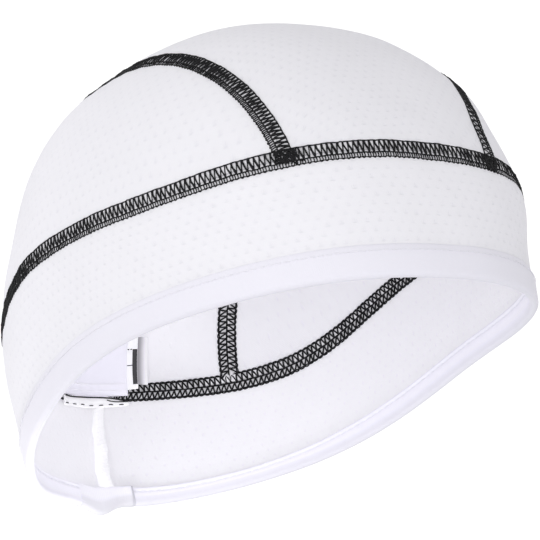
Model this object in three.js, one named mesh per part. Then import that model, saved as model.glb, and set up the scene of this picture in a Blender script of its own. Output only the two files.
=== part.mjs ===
// Helmet liner cap: a thin stretch skull cap, modelled in its worn shape.
// Millimetres, +Z up as worn, front towards -Y, the wearer's left towards +X.
// The origin is the highest point of the crown's inside, where the head carries the cap.
import * as THREE from 'three';

// ---------- driving sizes ----------
const DEG = Math.PI / 180;
const TILT = 22;             // degrees the front of the rim is higher than the nape
const CLOTH = 1.0;           // thickness of the mesh jersey
const GAP = 0.3;             // clearance between neighbouring pieces
const SEAM_WIDTH = 6.0;      // width of a flatlock seam
const THREAD = 0.5;          // build-up of the flatlock thread on each face
const THREAD_GAP = 0.5;      // from the curved cloth to the thread, which is wider than one facet
const BINDING_HEIGHT = 10.0; // elastic rim binding on the outside
const BINDING_INSIDE = 8.8;  // the same, inside
const INSIDE_DIP = { at: 158, before: 38, after: 26, deep: 3.0 }; // narrower inside near the back: degrees, degrees, degrees, mm
const BINDING_CLOTH = 0.7;   // one layer of the binding
const TOP = 115.5;           // crown height above the rim plane
const WIDEST = 28.8;         // height at which the crown wall is upright
const SIDE_POWER = 2.95;     // roundness of the crown's shoulder
const TOP_POWER = 1.89;      // roundness of the crown's top
const BAND_BULGE = 1.84;     // outward swell of the band halfway up
const TWIST = 0.03;          // the cap sits turned by this angle on the head
const BACK_SEAM_AT = 179.2;  // degrees round from the front, towards the wearer's left
const BACK_SEAM_LEAN = 0.037; // degrees more for each mm below the band seam

// plan outlines, half sizes from their own centre
const PLAN = {
  rim:  { side: 75.8, front: 92.0, back: 106.5, front_power: 2.20, back_power: 1.94, shift: 0.0 },
  seam: { side: 78.1, front: 103.2, back: 97.6, front_power: 2.52, back_power: 1.76, shift: 7.0 },
};
// heights round the head: each row is one wave, per turn
const RIM_WAVES = [
  { turns: 2, cos: -3.15, sin: 0.07 },
  { turns: 3, cos: -0.88, sin: 0.0 },
  { turns: 4, cos: 0.68, sin: 0.0 },
];
const SEAM_WAVES = [
  { turns: 0, cos: 41.68, sin: 0.0 },
  { turns: 1, cos: 0.31, sin: -1.48 },
  { turns: 2, cos: -4.16, sin: 1.16 },
  { turns: 3, cos: -0.25, sin: -1.12 },
  { turns: 4, cos: 2.24, sin: -0.25 },
  { turns: 5, cos: -0.47, sin: 0.51 },
  { turns: 6, cos: -0.02, sin: -0.29 },
];
// the centre strip of the crown: how far its two seams are from the middle
const STRIP = [
  { y: -90, left: 35.6, right: 43.2 },
  { y: -50, left: 47.7, right: 47.5 },
  { y: -5, left: 51.9, right: 45.1 },
  { y: 45, left: 48.1, right: 41.7 },
  { y: 100, left: 42.0, right: 43.4 },
];
// where the rim hangs lower or stands out, fading upwards over RIM_FADE
const RIM_FADE = 16;
const RIM_SHAPE = [
  { at: 183.7, wide: 3.4, drop: 2.7, flare: 0.0 },
  { at: 178, wide: 3, drop: -0.6, flare: 0.0 },
  { at: 193, wide: 6, drop: -0.6, flare: 0.0 },
  { at: 212, wide: 11, drop: 1.7, flare: 0.0 },
  { at: 48, wide: 26, drop: 0.0, flare: 2.2 },
];
// soft folds of the worn cloth: where each is, and how far it goes in (or stands out, where negative)
const FOLDS = [
  { at: 186, up: -18, wide: 9, tall: 15, deep: 0.5 },
  { at: 214, up: -16, wide: 12, tall: 12, deep: 0.4 },
  { at: 330, up: -14, wide: 16, tall: 10, deep: 0.4 },
  { at: 250, up: 30, wide: 18, tall: 20, deep: 0.5 },
  { at: 234, up: 45, wide: 40, tall: 24, deep: 1.1 },
  { at: 234, up: -10, wide: 40, tall: 18, deep: -1.1 },
  { at: 54, up: 60, wide: 34, tall: 24, deep: -1.8 },
  { at: 54, up: -4, wide: 26, tall: 9, deep: -1.4 },
  { at: 54, up: -21, wide: 22, tall: 8, deep: 1.5 },
];
// small sewn pieces at the centre back, inside: degrees round, height from the band seam, depth of the layer,
// degrees less for each mm of height
const TRIMS = {
  seam_tape:  { from: 173.0, to: 189.5, low: -4.6, high: -1.6, lift: 1.35, thick: 1.0, lean: 0 },
  main_label: { from: 172.85, to: 193.4, low: -1.2, high: 24.0, lift: 1.35, thick: 0.5, lean: 0.0614 },
  care_label: { from: 170.2, to: 172.4, low: -0.5, high: 26.0, lift: 1.35, thick: 1.6, lean: 0.0614 },
};
const BACK_SEAM = { width: 4.5, height: 2.2 };
const JOIN = { from: 174.8, to: 180.7 };   // overlapped end of the binding, before the seam's lean

// mesh density
const ROUND = 70;
const CLOSER = 0.35;         // how much closer the stations stand at the centre back
const CROWN_ROWS = 30;
const DISC_BEND = 1.25;      // spreads the crown rows evenly down the wall

const COLORS = { jersey: 0xf1f1f5, binding: 0xefeefa, thread: 0x17171a, label: 0xf2f1fa, tape: 0xf6f6f8 };

// ---------- the cap's surface, in the rim's own frame ----------
function planRadius(turn, o) {
  const a = turn - TWIST;
  const front = Math.cos(a) > 0;
  const n = front ? o.front_power : o.back_power;
  const s = Math.abs(Math.sin(a)) / o.side;
  const c = Math.abs(Math.cos(a)) / (front ? o.front : o.back);
  return (s ** n + c ** n) ** (-1 / n);
}
const wave = (turn, rows) =>
  rows.reduce((z, w) => z + w.cos * Math.cos(w.turns * turn) + w.sin * Math.sin(w.turns * turn), 0);
const rimHeight = (turn) => wave(turn, RIM_WAVES);
const seamHeight = (turn) => wave(turn, SEAM_WAVES);

// degrees from a place round the head, the short way
const degreesFrom = (turn, at) => (((turn / DEG - at + 180) % 360) + 360) % 360 - 180;
const rimShape = (turn, key) =>
  RIM_SHAPE.reduce((s, f) => s + f[key] * Math.exp(-((degreesFrom(turn, f.at) / f.wide) ** 2)), 0);

// level 0 is the rim, level 1 the band seam
function bandPoint(turn, level) {
  const fade = Math.max(0, 1 - (level * 43) / RIM_FADE) ** 2;
  const r = planRadius(turn, PLAN.rim) * (1 - level) + planRadius(turn, PLAN.seam) * level
    + BAND_BULGE * 4 * level * (1 - level) + fade * rimShape(turn, 'flare');
  return new THREE.Vector3(
    r * Math.sin(turn),
    -r * Math.cos(turn) + PLAN.seam.shift * level,
    rimHeight(turn) * (1 - level) + seamHeight(turn) * level - fade * rimShape(turn, 'drop'),
  );
}
// disc 0 is the crown's middle, disc 1 the band seam
function crownPoint(turn, disc) {
  const rho = Math.sin(DISC_BEND * disc) / Math.sin(DISC_BEND);
  const us = (seamHeight(turn) - WIDEST) / (TOP - WIDEST);
  const full = 1 - us ** TOP_POWER;
  const up = Math.max(0, 1 - rho ** SIDE_POWER * full) ** (1 / TOP_POWER);
  const r = planRadius(turn, PLAN.seam) * rho;
  return new THREE.Vector3(
    r * Math.sin(turn),
    -r * Math.cos(turn) + PLAN.seam.shift,
    WIDEST + (TOP - WIDEST) * up,
  );
}
// disc coordinates of a plan position on the crown
function discOf(x, y) {
  const yy = y - PLAN.seam.shift;
  const turn = Math.atan2(x, -yy);
  const rho = Math.hypot(x, yy) / planRadius(turn, PLAN.seam);
  const disc = rho >= 1 ? rho : Math.asin(rho * Math.sin(DISC_BEND)) / DISC_BEND;
  return { turn, disc };
}
// outward direction, the same for all the pieces so that their gaps hold
function outward(p) {
  const a = PLAN.seam.side;
  const b = (PLAN.seam.front + PLAN.seam.back) / 2;
  const c = TOP - WIDEST;
  return new THREE.Vector3(
    p.x / (a * a),
    (p.y - PLAN.seam.shift) / (b * b),
    Math.max(0, p.z - WIDEST) / (c * c),
  ).normalize();
}
function foldDepth(turn, up) {
  return FOLDS.reduce((s, f) => s + f.deep * Math.exp(-((degreesFrom(turn, f.at) / f.wide) ** 2) - (((up - f.up) / f.tall) ** 2)), 0);
}
// distance s above (+) or below (-) the band seam, in mm along the cloth
const bandLength = (turn) => bandPoint(turn, 1).distanceTo(bandPoint(turn, 0.4)) / 0.6;
const crownScale = (turn) => crownPoint(turn, 1).distanceTo(crownPoint(turn, 0.98)) / 0.02;
function clothPoint(turn, s) {
  return s < 0 ? bandPoint(turn, 1 + s / bandLength(turn)) : crownPoint(turn, 1 - s / crownScale(turn));
}
// moves a point of the surface in or out of the cloth and sets it in the worn frame
const lean = new THREE.Matrix4().makeRotationX(-TILT * DEG);
function layer(p, lift, turn = null, up = 0) {
  const q = p.clone();
  const fold = turn === null ? 0 : foldDepth(turn, up);
  q.addScaledVector(outward(p), lift - fold);
  return q.applyMatrix4(lean);
}

// ---------- closed solids from point grids ----------
// rows of rings: every ring is one closed cross-section; ends are capped unless the rows close on themselves
function sweep(rings, closed) {
  const n = rings[0].length;
  const pos = [];
  const index = [];
  rings.forEach((ring) => ring.forEach((p) => pos.push(p.x, p.y, p.z)));
  const rows = closed ? rings.length : rings.length - 1;
  for (let i = 0; i < rows; i += 1) {
    const a = i * n;
    const b = ((i + 1) % rings.length) * n;
    for (let j = 0; j < n; j += 1) {
      const k = (j + 1) % n;
      index.push(a + j, b + j, b + k, a + j, b + k, a + k);
    }
  }
  if (!closed) {
    for (const [row, flip] of [[0, false], [rings.length - 1, true]]) {
      const base = row * n;
      for (const t of capTriangles(rings[row])) {
        index.push(base + t[0], base + t[flip ? 2 : 1], base + t[flip ? 1 : 2]);
      }
    }
  }
  return solid(pos, index);
}
// flat triangles over one cross-section
function capTriangles(ring) {
  const origin = ring[0];
  const ux = new THREE.Vector3().subVectors(ring[1], origin).normalize();
  const area = new THREE.Vector3();
  for (let i = 1; i < ring.length - 1; i += 1) {
    area.add(new THREE.Vector3().crossVectors(
      new THREE.Vector3().subVectors(ring[i], origin),
      new THREE.Vector3().subVectors(ring[i + 1], origin),
    ));
  }
  const uy = new THREE.Vector3().crossVectors(area.normalize(), ux).normalize();
  const flat = ring.map((p) => {
    const d = new THREE.Vector3().subVectors(p, origin);
    return new THREE.Vector2(d.dot(ux), d.dot(uy));
  });
  const turned = ([a, b, c]) => flat[b].clone().sub(flat[a]).cross(flat[c].clone().sub(flat[a])) > 0;
  return THREE.ShapeUtils.triangulateShape(flat, []).map((t) => (turned(t) ? t : [t[0], t[2], t[1]]));
}
// a sheet with two faces: at(i, j, lift) gives a point of either face
function sheet(nu, nv, at, inner, outer) {
  const rings = [];
  for (let i = 0; i <= nu; i += 1) {
    const ring = [];
    for (let j = 0; j <= nv; j += 1) ring.push(at(i / nu, j / nv, outer));
    for (let j = nv; j >= 0; j -= 1) ring.push(at(i / nu, j / nv, inner));
    rings.push(ring);
  }
  return stripCapped(rings, nv);
}
// the ends of a sheet are strips between its two faces
function stripCapped(rings, nv) {
  const n = rings[0].length;
  const pos = [];
  const index = [];
  rings.forEach((ring) => ring.forEach((p) => pos.push(p.x, p.y, p.z)));
  for (let i = 0; i < rings.length - 1; i += 1) {
    for (let j = 0; j < n; j += 1) {
      const k = (j + 1) % n;
      const a = i * n;
      const b = a + n;
      index.push(a + j, b + j, b + k, a + j, b + k, a + k);
    }
  }
  for (const [row, flip] of [[0, false], [rings.length - 1, true]]) {
    const base = row * n;
    for (let j = 0; j < nv; j += 1) {
      const o0 = base + j;
      const o1 = base + j + 1;
      const i0 = base + n - 1 - j;
      const i1 = base + n - 2 - j;
      if (flip) index.push(o0, i0, o1, o1, i0, i1);
      else index.push(o0, o1, i0, o1, i1, i0);
    }
  }
  return solid(pos, index);
}
function solid(pos, index) {
  let volume = 0;
  const v = (i) => new THREE.Vector3(pos[3 * i], pos[3 * i + 1], pos[3 * i + 2]);
  for (let t = 0; t < index.length; t += 3) {
    volume += v(index[t]).dot(v(index[t + 1]).cross(v(index[t + 2]))) / 6;
  }
  if (volume < 0) {
    for (let t = 0; t < index.length; t += 3) [index[t + 1], index[t + 2]] = [index[t + 2], index[t + 1]];
  }
  const g = new THREE.BufferGeometry();
  g.setAttribute('position', new THREE.Float32BufferAttribute(pos, 3));
  g.setIndex(index);
  g.computeVertexNormals();
  return g;
}

const cap = new THREE.Group();
function add(name, geometry, color, roughness = 0.9) {
  const mesh = new THREE.Mesh(geometry, new THREE.MeshStandardMaterial({ color, roughness, metalness: 0 }));
  mesh.name = name;
  cap.add(mesh);
}

// ---------- crown panels ----------
function stripEdge(y, side) {
  return STRIP.reduce((sum, r) => {
    const share = STRIP.reduce((m, q) => (q === r ? m : (m * (y - q.y)) / (r.y - q.y)), 1);
    return sum + share * (side > 0 ? r.left : -r.right);
  }, 0);
}
// where a strip seam meets the band seam: end -1 is the front, +1 the back
function seamEnd(side, end, inset) {
  let lo = 0;
  let hi = 120 * end;
  for (let i = 0; i < 50; i += 1) {
    const y = (lo + hi) / 2;
    const rho = discOf(stripEdge(y, side) + inset * side, y).disc;
    if (rho < 1) lo = y; else hi = y;
  }
  return lo;
}
const HALF_GAP = GAP / 2;
const edgeDisc = 1 - HALF_GAP / 110;
// a station of a strip seam, t from 0 at the front to 1 at the back, rows closer near the ends
function seamStation(side, t, inset, stop = edgeDisc) {
  const y0 = seamEnd(side, -1, inset);
  const y1 = seamEnd(side, 1, inset);
  const c = (1 - Math.cos(Math.PI * t)) / 2;
  const y = y0 + (y1 - y0) * (0.25 * t + 0.75 * c);
  const d = discOf(stripEdge(y, side) + inset * side, y);
  return { turn: d.turn, disc: Math.min(d.disc, stop) };
}
const toFlat = (d) => new THREE.Vector2(d.disc * Math.sin(d.turn), -d.disc * Math.cos(d.turn));
const fromFlat = (v) => ({ turn: Math.atan2(v.x, -v.y), disc: v.length() });
const turnsBetween = (a, b) => { let d = b - a; while (d > Math.PI) d -= 2 * Math.PI; while (d < -Math.PI) d += 2 * Math.PI; return d; };
function crownLayer(flat, lift) {
  const d = fromFlat(flat);
  const p = crownPoint(d.turn, d.disc);
  return layer(p, lift, d.turn, (1 - d.disc) * crownScale(d.turn));
}
function centrePanel() {
  const rim = (a, b, u) => ({ turn: a.turn + turnsBetween(a.turn, b.turn) * u, disc: edgeDisc });
  const edge = (side, t) => seamStation(side, t, -HALF_GAP);
  const at = (t, u, lift) => {
    const L = toFlat(edge(1, t));
    const R = toFlat(edge(-1, t));
    const F = toFlat(rim(edge(-1, 0), edge(1, 0), u));
    const B = toFlat(rim(edge(-1, 1), edge(1, 1), u));
    const corner = (s, e) => toFlat(edge(s, e));
    const p = R.multiplyScalar(1 - u).addScaledVector(L, u)
      .addScaledVector(F, 1 - t).addScaledVector(B, t)
      .addScaledVector(corner(-1, 0), -(1 - u) * (1 - t)).addScaledVector(corner(1, 0), -u * (1 - t))
      .addScaledVector(corner(-1, 1), -(1 - u) * t).addScaledVector(corner(1, 1), -u * t);
    return crownLayer(p, lift);
  };
  return sheet(CROWN_ROWS, 10, at, -CLOTH, 0);
}
function sidePanel(side) {
  const start = 0.02;
  const edge = (t) => seamStation(side, start + t * (1 - 2 * start), HALF_GAP);
  const a = edge(0).turn;
  const sweepTurn = side * Math.abs(turnsBetween(a, edge(1).turn));
  const at = (t, u0, lift) => {
    const u = 1 - (1 - u0) ** 1.5;
    const E = toFlat(edge(t));
    const A = toFlat({ turn: a + sweepTurn * (0.35 * t + 0.65 * (1 - Math.cos(Math.PI * t)) / 2), disc: edgeDisc });
    return crownLayer(E.multiplyScalar(1 - u).addScaledVector(A, u), lift);
  };
  return sheet(CROWN_ROWS, 8, at, -CLOTH, 0);
}
add('crown_centre', centrePanel(), COLORS.jersey);
add('crown_side_right', sidePanel(-1), COLORS.jersey);
add('crown_side_left', sidePanel(1), COLORS.jersey);

// ---------- band, open at the centre back seam ----------
const backTurn = BACK_SEAM_AT * DEG;
const BAND_FOOT = 1.5;   // the band's cut edge inside the binding, above the rim
// once round from the back seam, with the stations closer near it
function roundTurn(t, gap) {
  const g = gap / 2 / 100;
  const even = t - (CLOSER / (2 * Math.PI)) * Math.sin(2 * Math.PI * t);
  return backTurn + g + even * (2 * Math.PI - 2 * g);
}
// s mm from the band seam, along a line that leans as the centre back seam does
const leaning = (turn, s) => turn + Math.max(0, -s) * BACK_SEAM_LEAN * DEG;
function bandLayer(turn, s, lift) {
  const at = leaning(turn, s);
  return layer(bandPoint(at, 1 + s / bandLength(at)), lift, at, s);
}
add('band', sheet(ROUND, 5, (t, u, lift) => {
  const turn = roundTurn(t, GAP);
  return bandLayer(turn, -HALF_GAP - (1 - u) * (bandLength(turn) - HALF_GAP - BAND_FOOT), lift);
}, -CLOTH, 0), COLORS.jersey);

// ---------- elastic binding folded round the rim ----------
function insideHeight(turn) {
  const d = (((turn / DEG) % 360) + 360) % 360;
  const wide = d < INSIDE_DIP.at ? INSIDE_DIP.before : INSIDE_DIP.after;
  return BINDING_INSIDE - INSIDE_DIP.deep * Math.exp(-(((d - INSIDE_DIP.at) / wide) ** 2));
}
const rimLayer = (turn, h, lift) => bandLayer(turn, h - bandLength(turn), lift);
function bindingRing(turn, grow) {
  const mid = -CLOTH / 2;
  const half = CLOTH / 2 + GAP + BINDING_CLOTH + grow;
  const slot = CLOTH / 2 + GAP + grow;
  const foot = BAND_FOOT - GAP - grow;
  const ring = [];
  ring.push([BINDING_HEIGHT + grow, mid + half]);
  for (let k = 0; k <= 4; k += 1) {
    const a = (k / 4) * Math.PI;
    ring.push([half - half * Math.sin(a) - grow, mid + half * Math.cos(a)]);
  }
  const inside = insideHeight(turn) + grow;
  ring.push([inside, mid - half], [inside, mid - slot], [foot, mid - slot], [foot, mid + slot], [BINDING_HEIGHT + grow, mid + slot]);
  return ring.map(([h, lift]) => rimLayer(turn, h, lift));
}
const bindingRings = [];
for (let i = 0; i <= ROUND; i += 1) bindingRings.push(bindingRing(roundTurn(i / ROUND, GAP), 0));
add('binding', sweep(bindingRings, false), COLORS.binding, 0.75);
// the end of the binding lapped over its start: a second fold outside the first
function joinRing(turn) {
  const mid = -CLOTH / 2;
  const inner = CLOTH / 2 + GAP + BINDING_CLOTH + GAP;
  const outer = inner + BINDING_CLOTH;
  const ring = [];
  const arc = (r, from, to) => {
    for (let k = 0; k <= 4; k += 1) {
      const a = from + (to - from) * (k / 4);
      ring.push([inner - GAP - r * Math.sin(a), mid + r * Math.cos(a)]);
    }
  };
  ring.push([BINDING_HEIGHT, mid + outer]);
  arc(outer, 0, Math.PI);
  const inside = insideHeight(turn);
  ring.push([inside, mid - outer], [inside, mid - inner]);
  arc(inner, Math.PI, 0);
  ring.push([BINDING_HEIGHT, mid + inner]);
  return ring.map(([h, lift]) => rimLayer(turn, h, lift));
}
// it follows the binding's own flats: its rings stand at the binding's stations, its ends between two of them
const stationTurns = [];
for (const back of [-2 * Math.PI, 0]) for (let i = 0; i <= ROUND; i += 1) stationTurns.push(back + roundTurn(i / ROUND, GAP));
function joinEnd(turn) {
  const next = stationTurns.findIndex((t) => t > turn);
  const [a, b] = [stationTurns[next - 1], stationTurns[next]];
  const far = joinRing(b);
  return joinRing(a).map((p, k) => p.lerp(far[k], (turn - a) / (b - a)));
}
const joinRings = [
  joinEnd(JOIN.from * DEG),
  ...stationTurns.filter((t) => t > JOIN.from * DEG && t < JOIN.to * DEG).map(joinRing),
  joinEnd(JOIN.to * DEG),
];
add('binding_join', sweep(joinRings, false), COLORS.binding, 0.75);

// ---------- flatlock thread, a thin build-up on both faces of each seam ----------
const FACES = [
  { name: 'outside', low: THREAD_GAP, high: THREAD_GAP + THREAD },
  { name: 'inside', low: -CLOTH - THREAD_GAP - THREAD, high: -CLOTH - THREAD_GAP },
];
for (const face of FACES) {
  const rings = [];
  for (let i = 0; i < ROUND; i += 1) {
    const turn = roundTurn(i / ROUND, GAP);
    const side = [-SEAM_WIDTH / 2, SEAM_WIDTH / 2];
    rings.push([
      ...side.map((s) => layer(clothPoint(turn, s), face.high, turn, s)),
      ...side.slice().reverse().map((s) => layer(clothPoint(turn, s), face.low, turn, s)),
    ]);
  }
  add(`band_seam_${face.name}`, sweep(rings, true), COLORS.thread, 0.6);
}
// a place s mm across a crown seam, square to it, from the station at height y of the plan
function acrossSeam(side, y, s) {
  const x = stripEdge(y, side);
  const step = 0.4;
  const at = (px, py) => { const d = discOf(px, py); return crownPoint(d.turn, d.disc); };
  const sx = at(x + step, y).sub(at(x - step, y)).divideScalar(2 * step);
  const sy = at(x, y + step).sub(at(x, y - step)).divideScalar(2 * step);
  const slope = (stripEdge(y + step, side) - stripEdge(y - step, side)) / (2 * step);
  const along = sy.clone().addScaledVector(sx, slope);
  let a = sy.dot(along);
  let b = -sx.dot(along);
  const size = sx.clone().multiplyScalar(a).addScaledVector(sy, b).length() * (a < 0 ? -1 : 1);
  a /= size;
  b /= size;
  return discOf(x + s * a, y + s * b);
}
const aboveSeam = (d) => (1 - d.disc) * crownScale(d.turn);
const WIDTHS = [-SEAM_WIDTH / 2, SEAM_WIDTH / 2];
for (const [side, word] of [[-1, 'right'], [1, 'left']]) {
  const stations = [];
  const front = seamEnd(side, -1, 0);
  const back = seamEnd(side, 1, 0);
  for (let i = 1; i < 400; i += 1) {
    const c = (1 - Math.cos((Math.PI * i) / 400)) / 2;
    const y = front + (back - front) * ((0.25 * i) / 400 + 0.75 * c);
    if (WIDTHS.every((w) => aboveSeam(acrossSeam(side, y, w)) > SEAM_WIDTH / 2 + GAP)) stations.push(y);
  }
  for (const face of FACES) {
    const rings = [];
    const rows = 32;
    for (let i = 0; i <= rows; i += 1) {
      const y = stations[Math.round((i * (stations.length - 1)) / rows)];
      rings.push([
        ...WIDTHS.map((w) => crownLayer(toFlat(acrossSeam(side, y, w)), face.high)),
        ...WIDTHS.slice().reverse().map((w) => crownLayer(toFlat(acrossSeam(side, y, w)), face.low)),
      ]);
    }
    add(`crown_seam_${word}_${face.name}`, sweep(rings, false), COLORS.thread, 0.6);
  }
}

// ---------- overlocked ridge of the centre back seam, inside the band ----------
const ridge = [];
for (let i = 0; i <= 12; i += 1) {
  const length = bandLength(backTurn);
  const low = -(length - insideHeight(BACK_SEAM_AT * DEG) - 2 * GAP);
  const high = TRIMS.seam_tape.low - GAP;
  const s = low + ((high - low) * i) / 12;
  const ring = [];
  for (let k = 0; k <= 6; k += 1) {
    const a = (Math.PI * k) / 6;
    const turn = leaning(backTurn, s) + ((BACK_SEAM.width / 2) * Math.cos(a)) / 100;
    ring.push(layer(clothPoint(turn, s), -CLOTH - GAP - BACK_SEAM.height * Math.sin(a), turn, s));
  }
  ridge.push(ring);
}
add('back_seam', sweep(ridge, false), COLORS.tape);

// ---------- tape and labels at the centre back ----------
for (const [name, t] of Object.entries(TRIMS)) {
  const outer = -CLOTH - t.lift;
  const across = Math.max(2, Math.round((t.to - t.from) / 3));
  add(name, sheet(across, 5, (u, v, lift) => {
    const s = t.low + (t.high - t.low) * v;
    const turn = (t.from + (t.to - t.from) * u - t.lean * s) * DEG;
    return layer(clothPoint(turn, s), lift, turn, s);
  }, outer - t.thick, outer), name === 'seam_tape' ? COLORS.tape : COLORS.label, 0.5);
}

// ---------- the origin: the highest point of the crown's inside ----------
const seat = new THREE.Vector3(0, 0, -1e9);
for (let i = -60; i <= 60; i += 1) {
  const d = discOf(0, i);
  const p = layer(crownPoint(d.turn, d.disc), -CLOTH);
  if (p.z > seat.z) seat.copy(p);
}
cap.position.set(0, -seat.y, -seat.z);

export default cap;
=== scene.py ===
import math

import bpy
import numpy as np
from mathutils import Matrix, Vector


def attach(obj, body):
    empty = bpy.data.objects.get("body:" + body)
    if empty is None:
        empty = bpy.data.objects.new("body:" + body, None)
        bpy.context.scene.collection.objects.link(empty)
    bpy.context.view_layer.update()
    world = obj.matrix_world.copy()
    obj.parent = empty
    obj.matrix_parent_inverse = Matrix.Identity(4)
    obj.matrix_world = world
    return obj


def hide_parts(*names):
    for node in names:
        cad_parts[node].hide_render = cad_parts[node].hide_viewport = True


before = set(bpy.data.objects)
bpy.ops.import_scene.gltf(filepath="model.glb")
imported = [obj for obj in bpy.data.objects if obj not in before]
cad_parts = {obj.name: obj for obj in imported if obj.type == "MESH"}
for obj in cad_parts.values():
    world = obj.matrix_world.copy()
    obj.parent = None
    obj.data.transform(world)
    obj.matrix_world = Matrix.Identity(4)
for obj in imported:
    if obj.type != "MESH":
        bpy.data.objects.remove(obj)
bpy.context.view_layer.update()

RNG = np.random.default_rng(7)

# ---------------------------------------------------------------- sizes, mm
DEG = math.pi / 180
TILT = 22.0
CLOTH = 1.0
GAP = 0.3
SEAM_WIDTH = 6.0
BINDING_HEIGHT = 10.0
BINDING_INSIDE = 8.8
INSIDE_DIP = dict(at=158.0, before=38.0, after=26.0, deep=3.0)
BINDING_CLOTH = 0.7
BAND_FOOT = 1.5
TOP = 115.5
WIDEST = 28.8
SIDE_POWER = 2.95
TOP_POWER = 1.89
BAND_BULGE = 1.84
TWIST = 0.03
BACK_SEAM_AT = 179.2
BACK_SEAM_LEAN = 0.037
DISC_BEND = 1.25
SEAT = (0.0, 3.8797, -117.3066)  # moves the rim frame's leaned points to the origin

PLAN = {
    "rim": dict(side=75.8, front=92.0, back=106.5, front_power=2.20, back_power=1.94, shift=0.0),
    "seam": dict(side=78.1, front=103.2, back=97.6, front_power=2.52, back_power=1.76, shift=7.0),
}
RIM_WAVES = ((2, -3.15, 0.07), (3, -0.88, 0.0), (4, 0.68, 0.0))
SEAM_WAVES = (
    (0, 41.68, 0.0), (1, 0.31, -1.48), (2, -4.16, 1.16), (3, -0.25, -1.12),
    (4, 2.24, -0.25), (5, -0.47, 0.51), (6, -0.02, -0.29),
)
STRIP = dict(y=(-90.0, -50.0, -5.0, 45.0, 100.0), left=(35.6, 47.7, 51.9, 48.1, 42.0), right=(43.2, 47.5, 45.1, 41.7, 43.4))
RIM_FADE = 16.0
RIM_SHAPE = (
    dict(at=183.7, wide=3.4, drop=2.7, flare=0.0),
    dict(at=178, wide=3, drop=-0.6, flare=0.0),
    dict(at=193, wide=6, drop=-0.6, flare=0.0),
    dict(at=212, wide=11, drop=1.7, flare=0.0),
    dict(at=48, wide=26, drop=0.0, flare=2.2),
)
FOLDS = (
    (186, -18, 9, 15, 0.5), (214, -16, 12, 12, 0.4), (330, -14, 16, 10, 0.4), (250, 30, 18, 20, 0.5),
    (234, 45, 40, 24, 1.1), (234, -10, 40, 18, -1.1), (54, 60, 34, 24, -1.8), (54, -4, 26, 9, -1.4), (54, -21, 22, 8, 1.5),
)


# ---------------------------------------------------------------- the cap's surface
def plan_radius(turn, o):
    a = turn - TWIST
    front = np.cos(a) > 0
    n = np.where(front, o["front_power"], o["back_power"])
    s = np.abs(np.sin(a)) / o["side"]
    c = np.abs(np.cos(a)) / np.where(front, o["front"], o["back"])
    return (s**n + c**n) ** (-1 / n)


def wave(turn, rows):
    return sum(c * np.cos(k * turn) + s * np.sin(k * turn) for k, c, s in rows)


def degrees_from(turn, at):
    return (turn / DEG - at + 180) % 360 - 180


def rim_shape(turn, key):
    return sum(f[key] * np.exp(-((degrees_from(turn, f["at"]) / f["wide"]) ** 2)) for f in RIM_SHAPE)


def band_point(turn, level):
    turn, level = np.broadcast_arrays(np.asarray(turn, float), np.asarray(level, float))
    fade = np.clip(1 - level * 43 / RIM_FADE, 0, None) ** 2
    r = (
        plan_radius(turn, PLAN["rim"]) * (1 - level)
        + plan_radius(turn, PLAN["seam"]) * level
        + BAND_BULGE * 4 * level * (1 - level)
        + fade * rim_shape(turn, "flare")
    )
    z = wave(turn, RIM_WAVES) * (1 - level) + wave(turn, SEAM_WAVES) * level - fade * rim_shape(turn, "drop")
    return np.stack([r * np.sin(turn), -r * np.cos(turn) + PLAN["seam"]["shift"] * level, z], -1)


def crown_point(turn, disc):
    turn, disc = np.broadcast_arrays(np.asarray(turn, float), np.asarray(disc, float))
    rho = np.sin(DISC_BEND * disc) / math.sin(DISC_BEND)
    us = (wave(turn, SEAM_WAVES) - WIDEST) / (TOP - WIDEST)
    full = 1 - us**TOP_POWER
    up = np.clip(1 - np.abs(rho) ** SIDE_POWER * full, 0, None) ** (1 / TOP_POWER)
    r = plan_radius(turn, PLAN["seam"]) * rho
    return np.stack([r * np.sin(turn), -r * np.cos(turn) + PLAN["seam"]["shift"], WIDEST + (TOP - WIDEST) * up], -1)


def disc_of(x, y):
    yy = y - PLAN["seam"]["shift"]
    turn = np.arctan2(x, -yy)
    rho = np.hypot(x, yy) / plan_radius(turn, PLAN["seam"])
    inside = np.arcsin(np.clip(rho * math.sin(DISC_BEND), -1, 1)) / DISC_BEND
    return turn, np.where(rho >= 1, rho, inside)


def outward(p):
    a = PLAN["seam"]["side"]
    b = (PLAN["seam"]["front"] + PLAN["seam"]["back"]) / 2
    c = TOP - WIDEST
    n = np.stack(
        [p[..., 0] / a**2, (p[..., 1] - PLAN["seam"]["shift"]) / b**2, np.clip(p[..., 2] - WIDEST, 0, None) / c**2], -1
    )
    return n / np.linalg.norm(n, axis=-1, keepdims=True)


def fold_depth(turn, up):
    return sum(
        deep * np.exp(-((degrees_from(turn, at) / wide) ** 2) - (((up - h) / tall) ** 2)) for at, h, wide, tall, deep in FOLDS
    )


def band_length(turn):
    return np.linalg.norm(band_point(turn, 1.0) - band_point(turn, 0.4), axis=-1) / 0.6


def crown_scale(turn):
    return np.linalg.norm(crown_point(turn, 1.0) - crown_point(turn, 0.98), axis=-1) / 0.02


def cloth_point(turn, s):
    turn, s = np.broadcast_arrays(np.asarray(turn, float), np.asarray(s, float))
    low = band_point(turn, 1 + s / band_length(turn))
    high = crown_point(turn, 1 - s / crown_scale(turn))
    return np.where((s < 0)[..., None], low, high)


CL, SL = math.cos(TILT * DEG), math.sin(TILT * DEG)


def lean(p):
    """The rim frame's points, mm, to the worn frame, metres."""
    x, y, z = p[..., 0], p[..., 1], p[..., 2]
    return np.stack([x + SEAT[0], y * CL + z * SL + SEAT[1], -y * SL + z * CL + SEAT[2]], -1) / 1000


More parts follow.
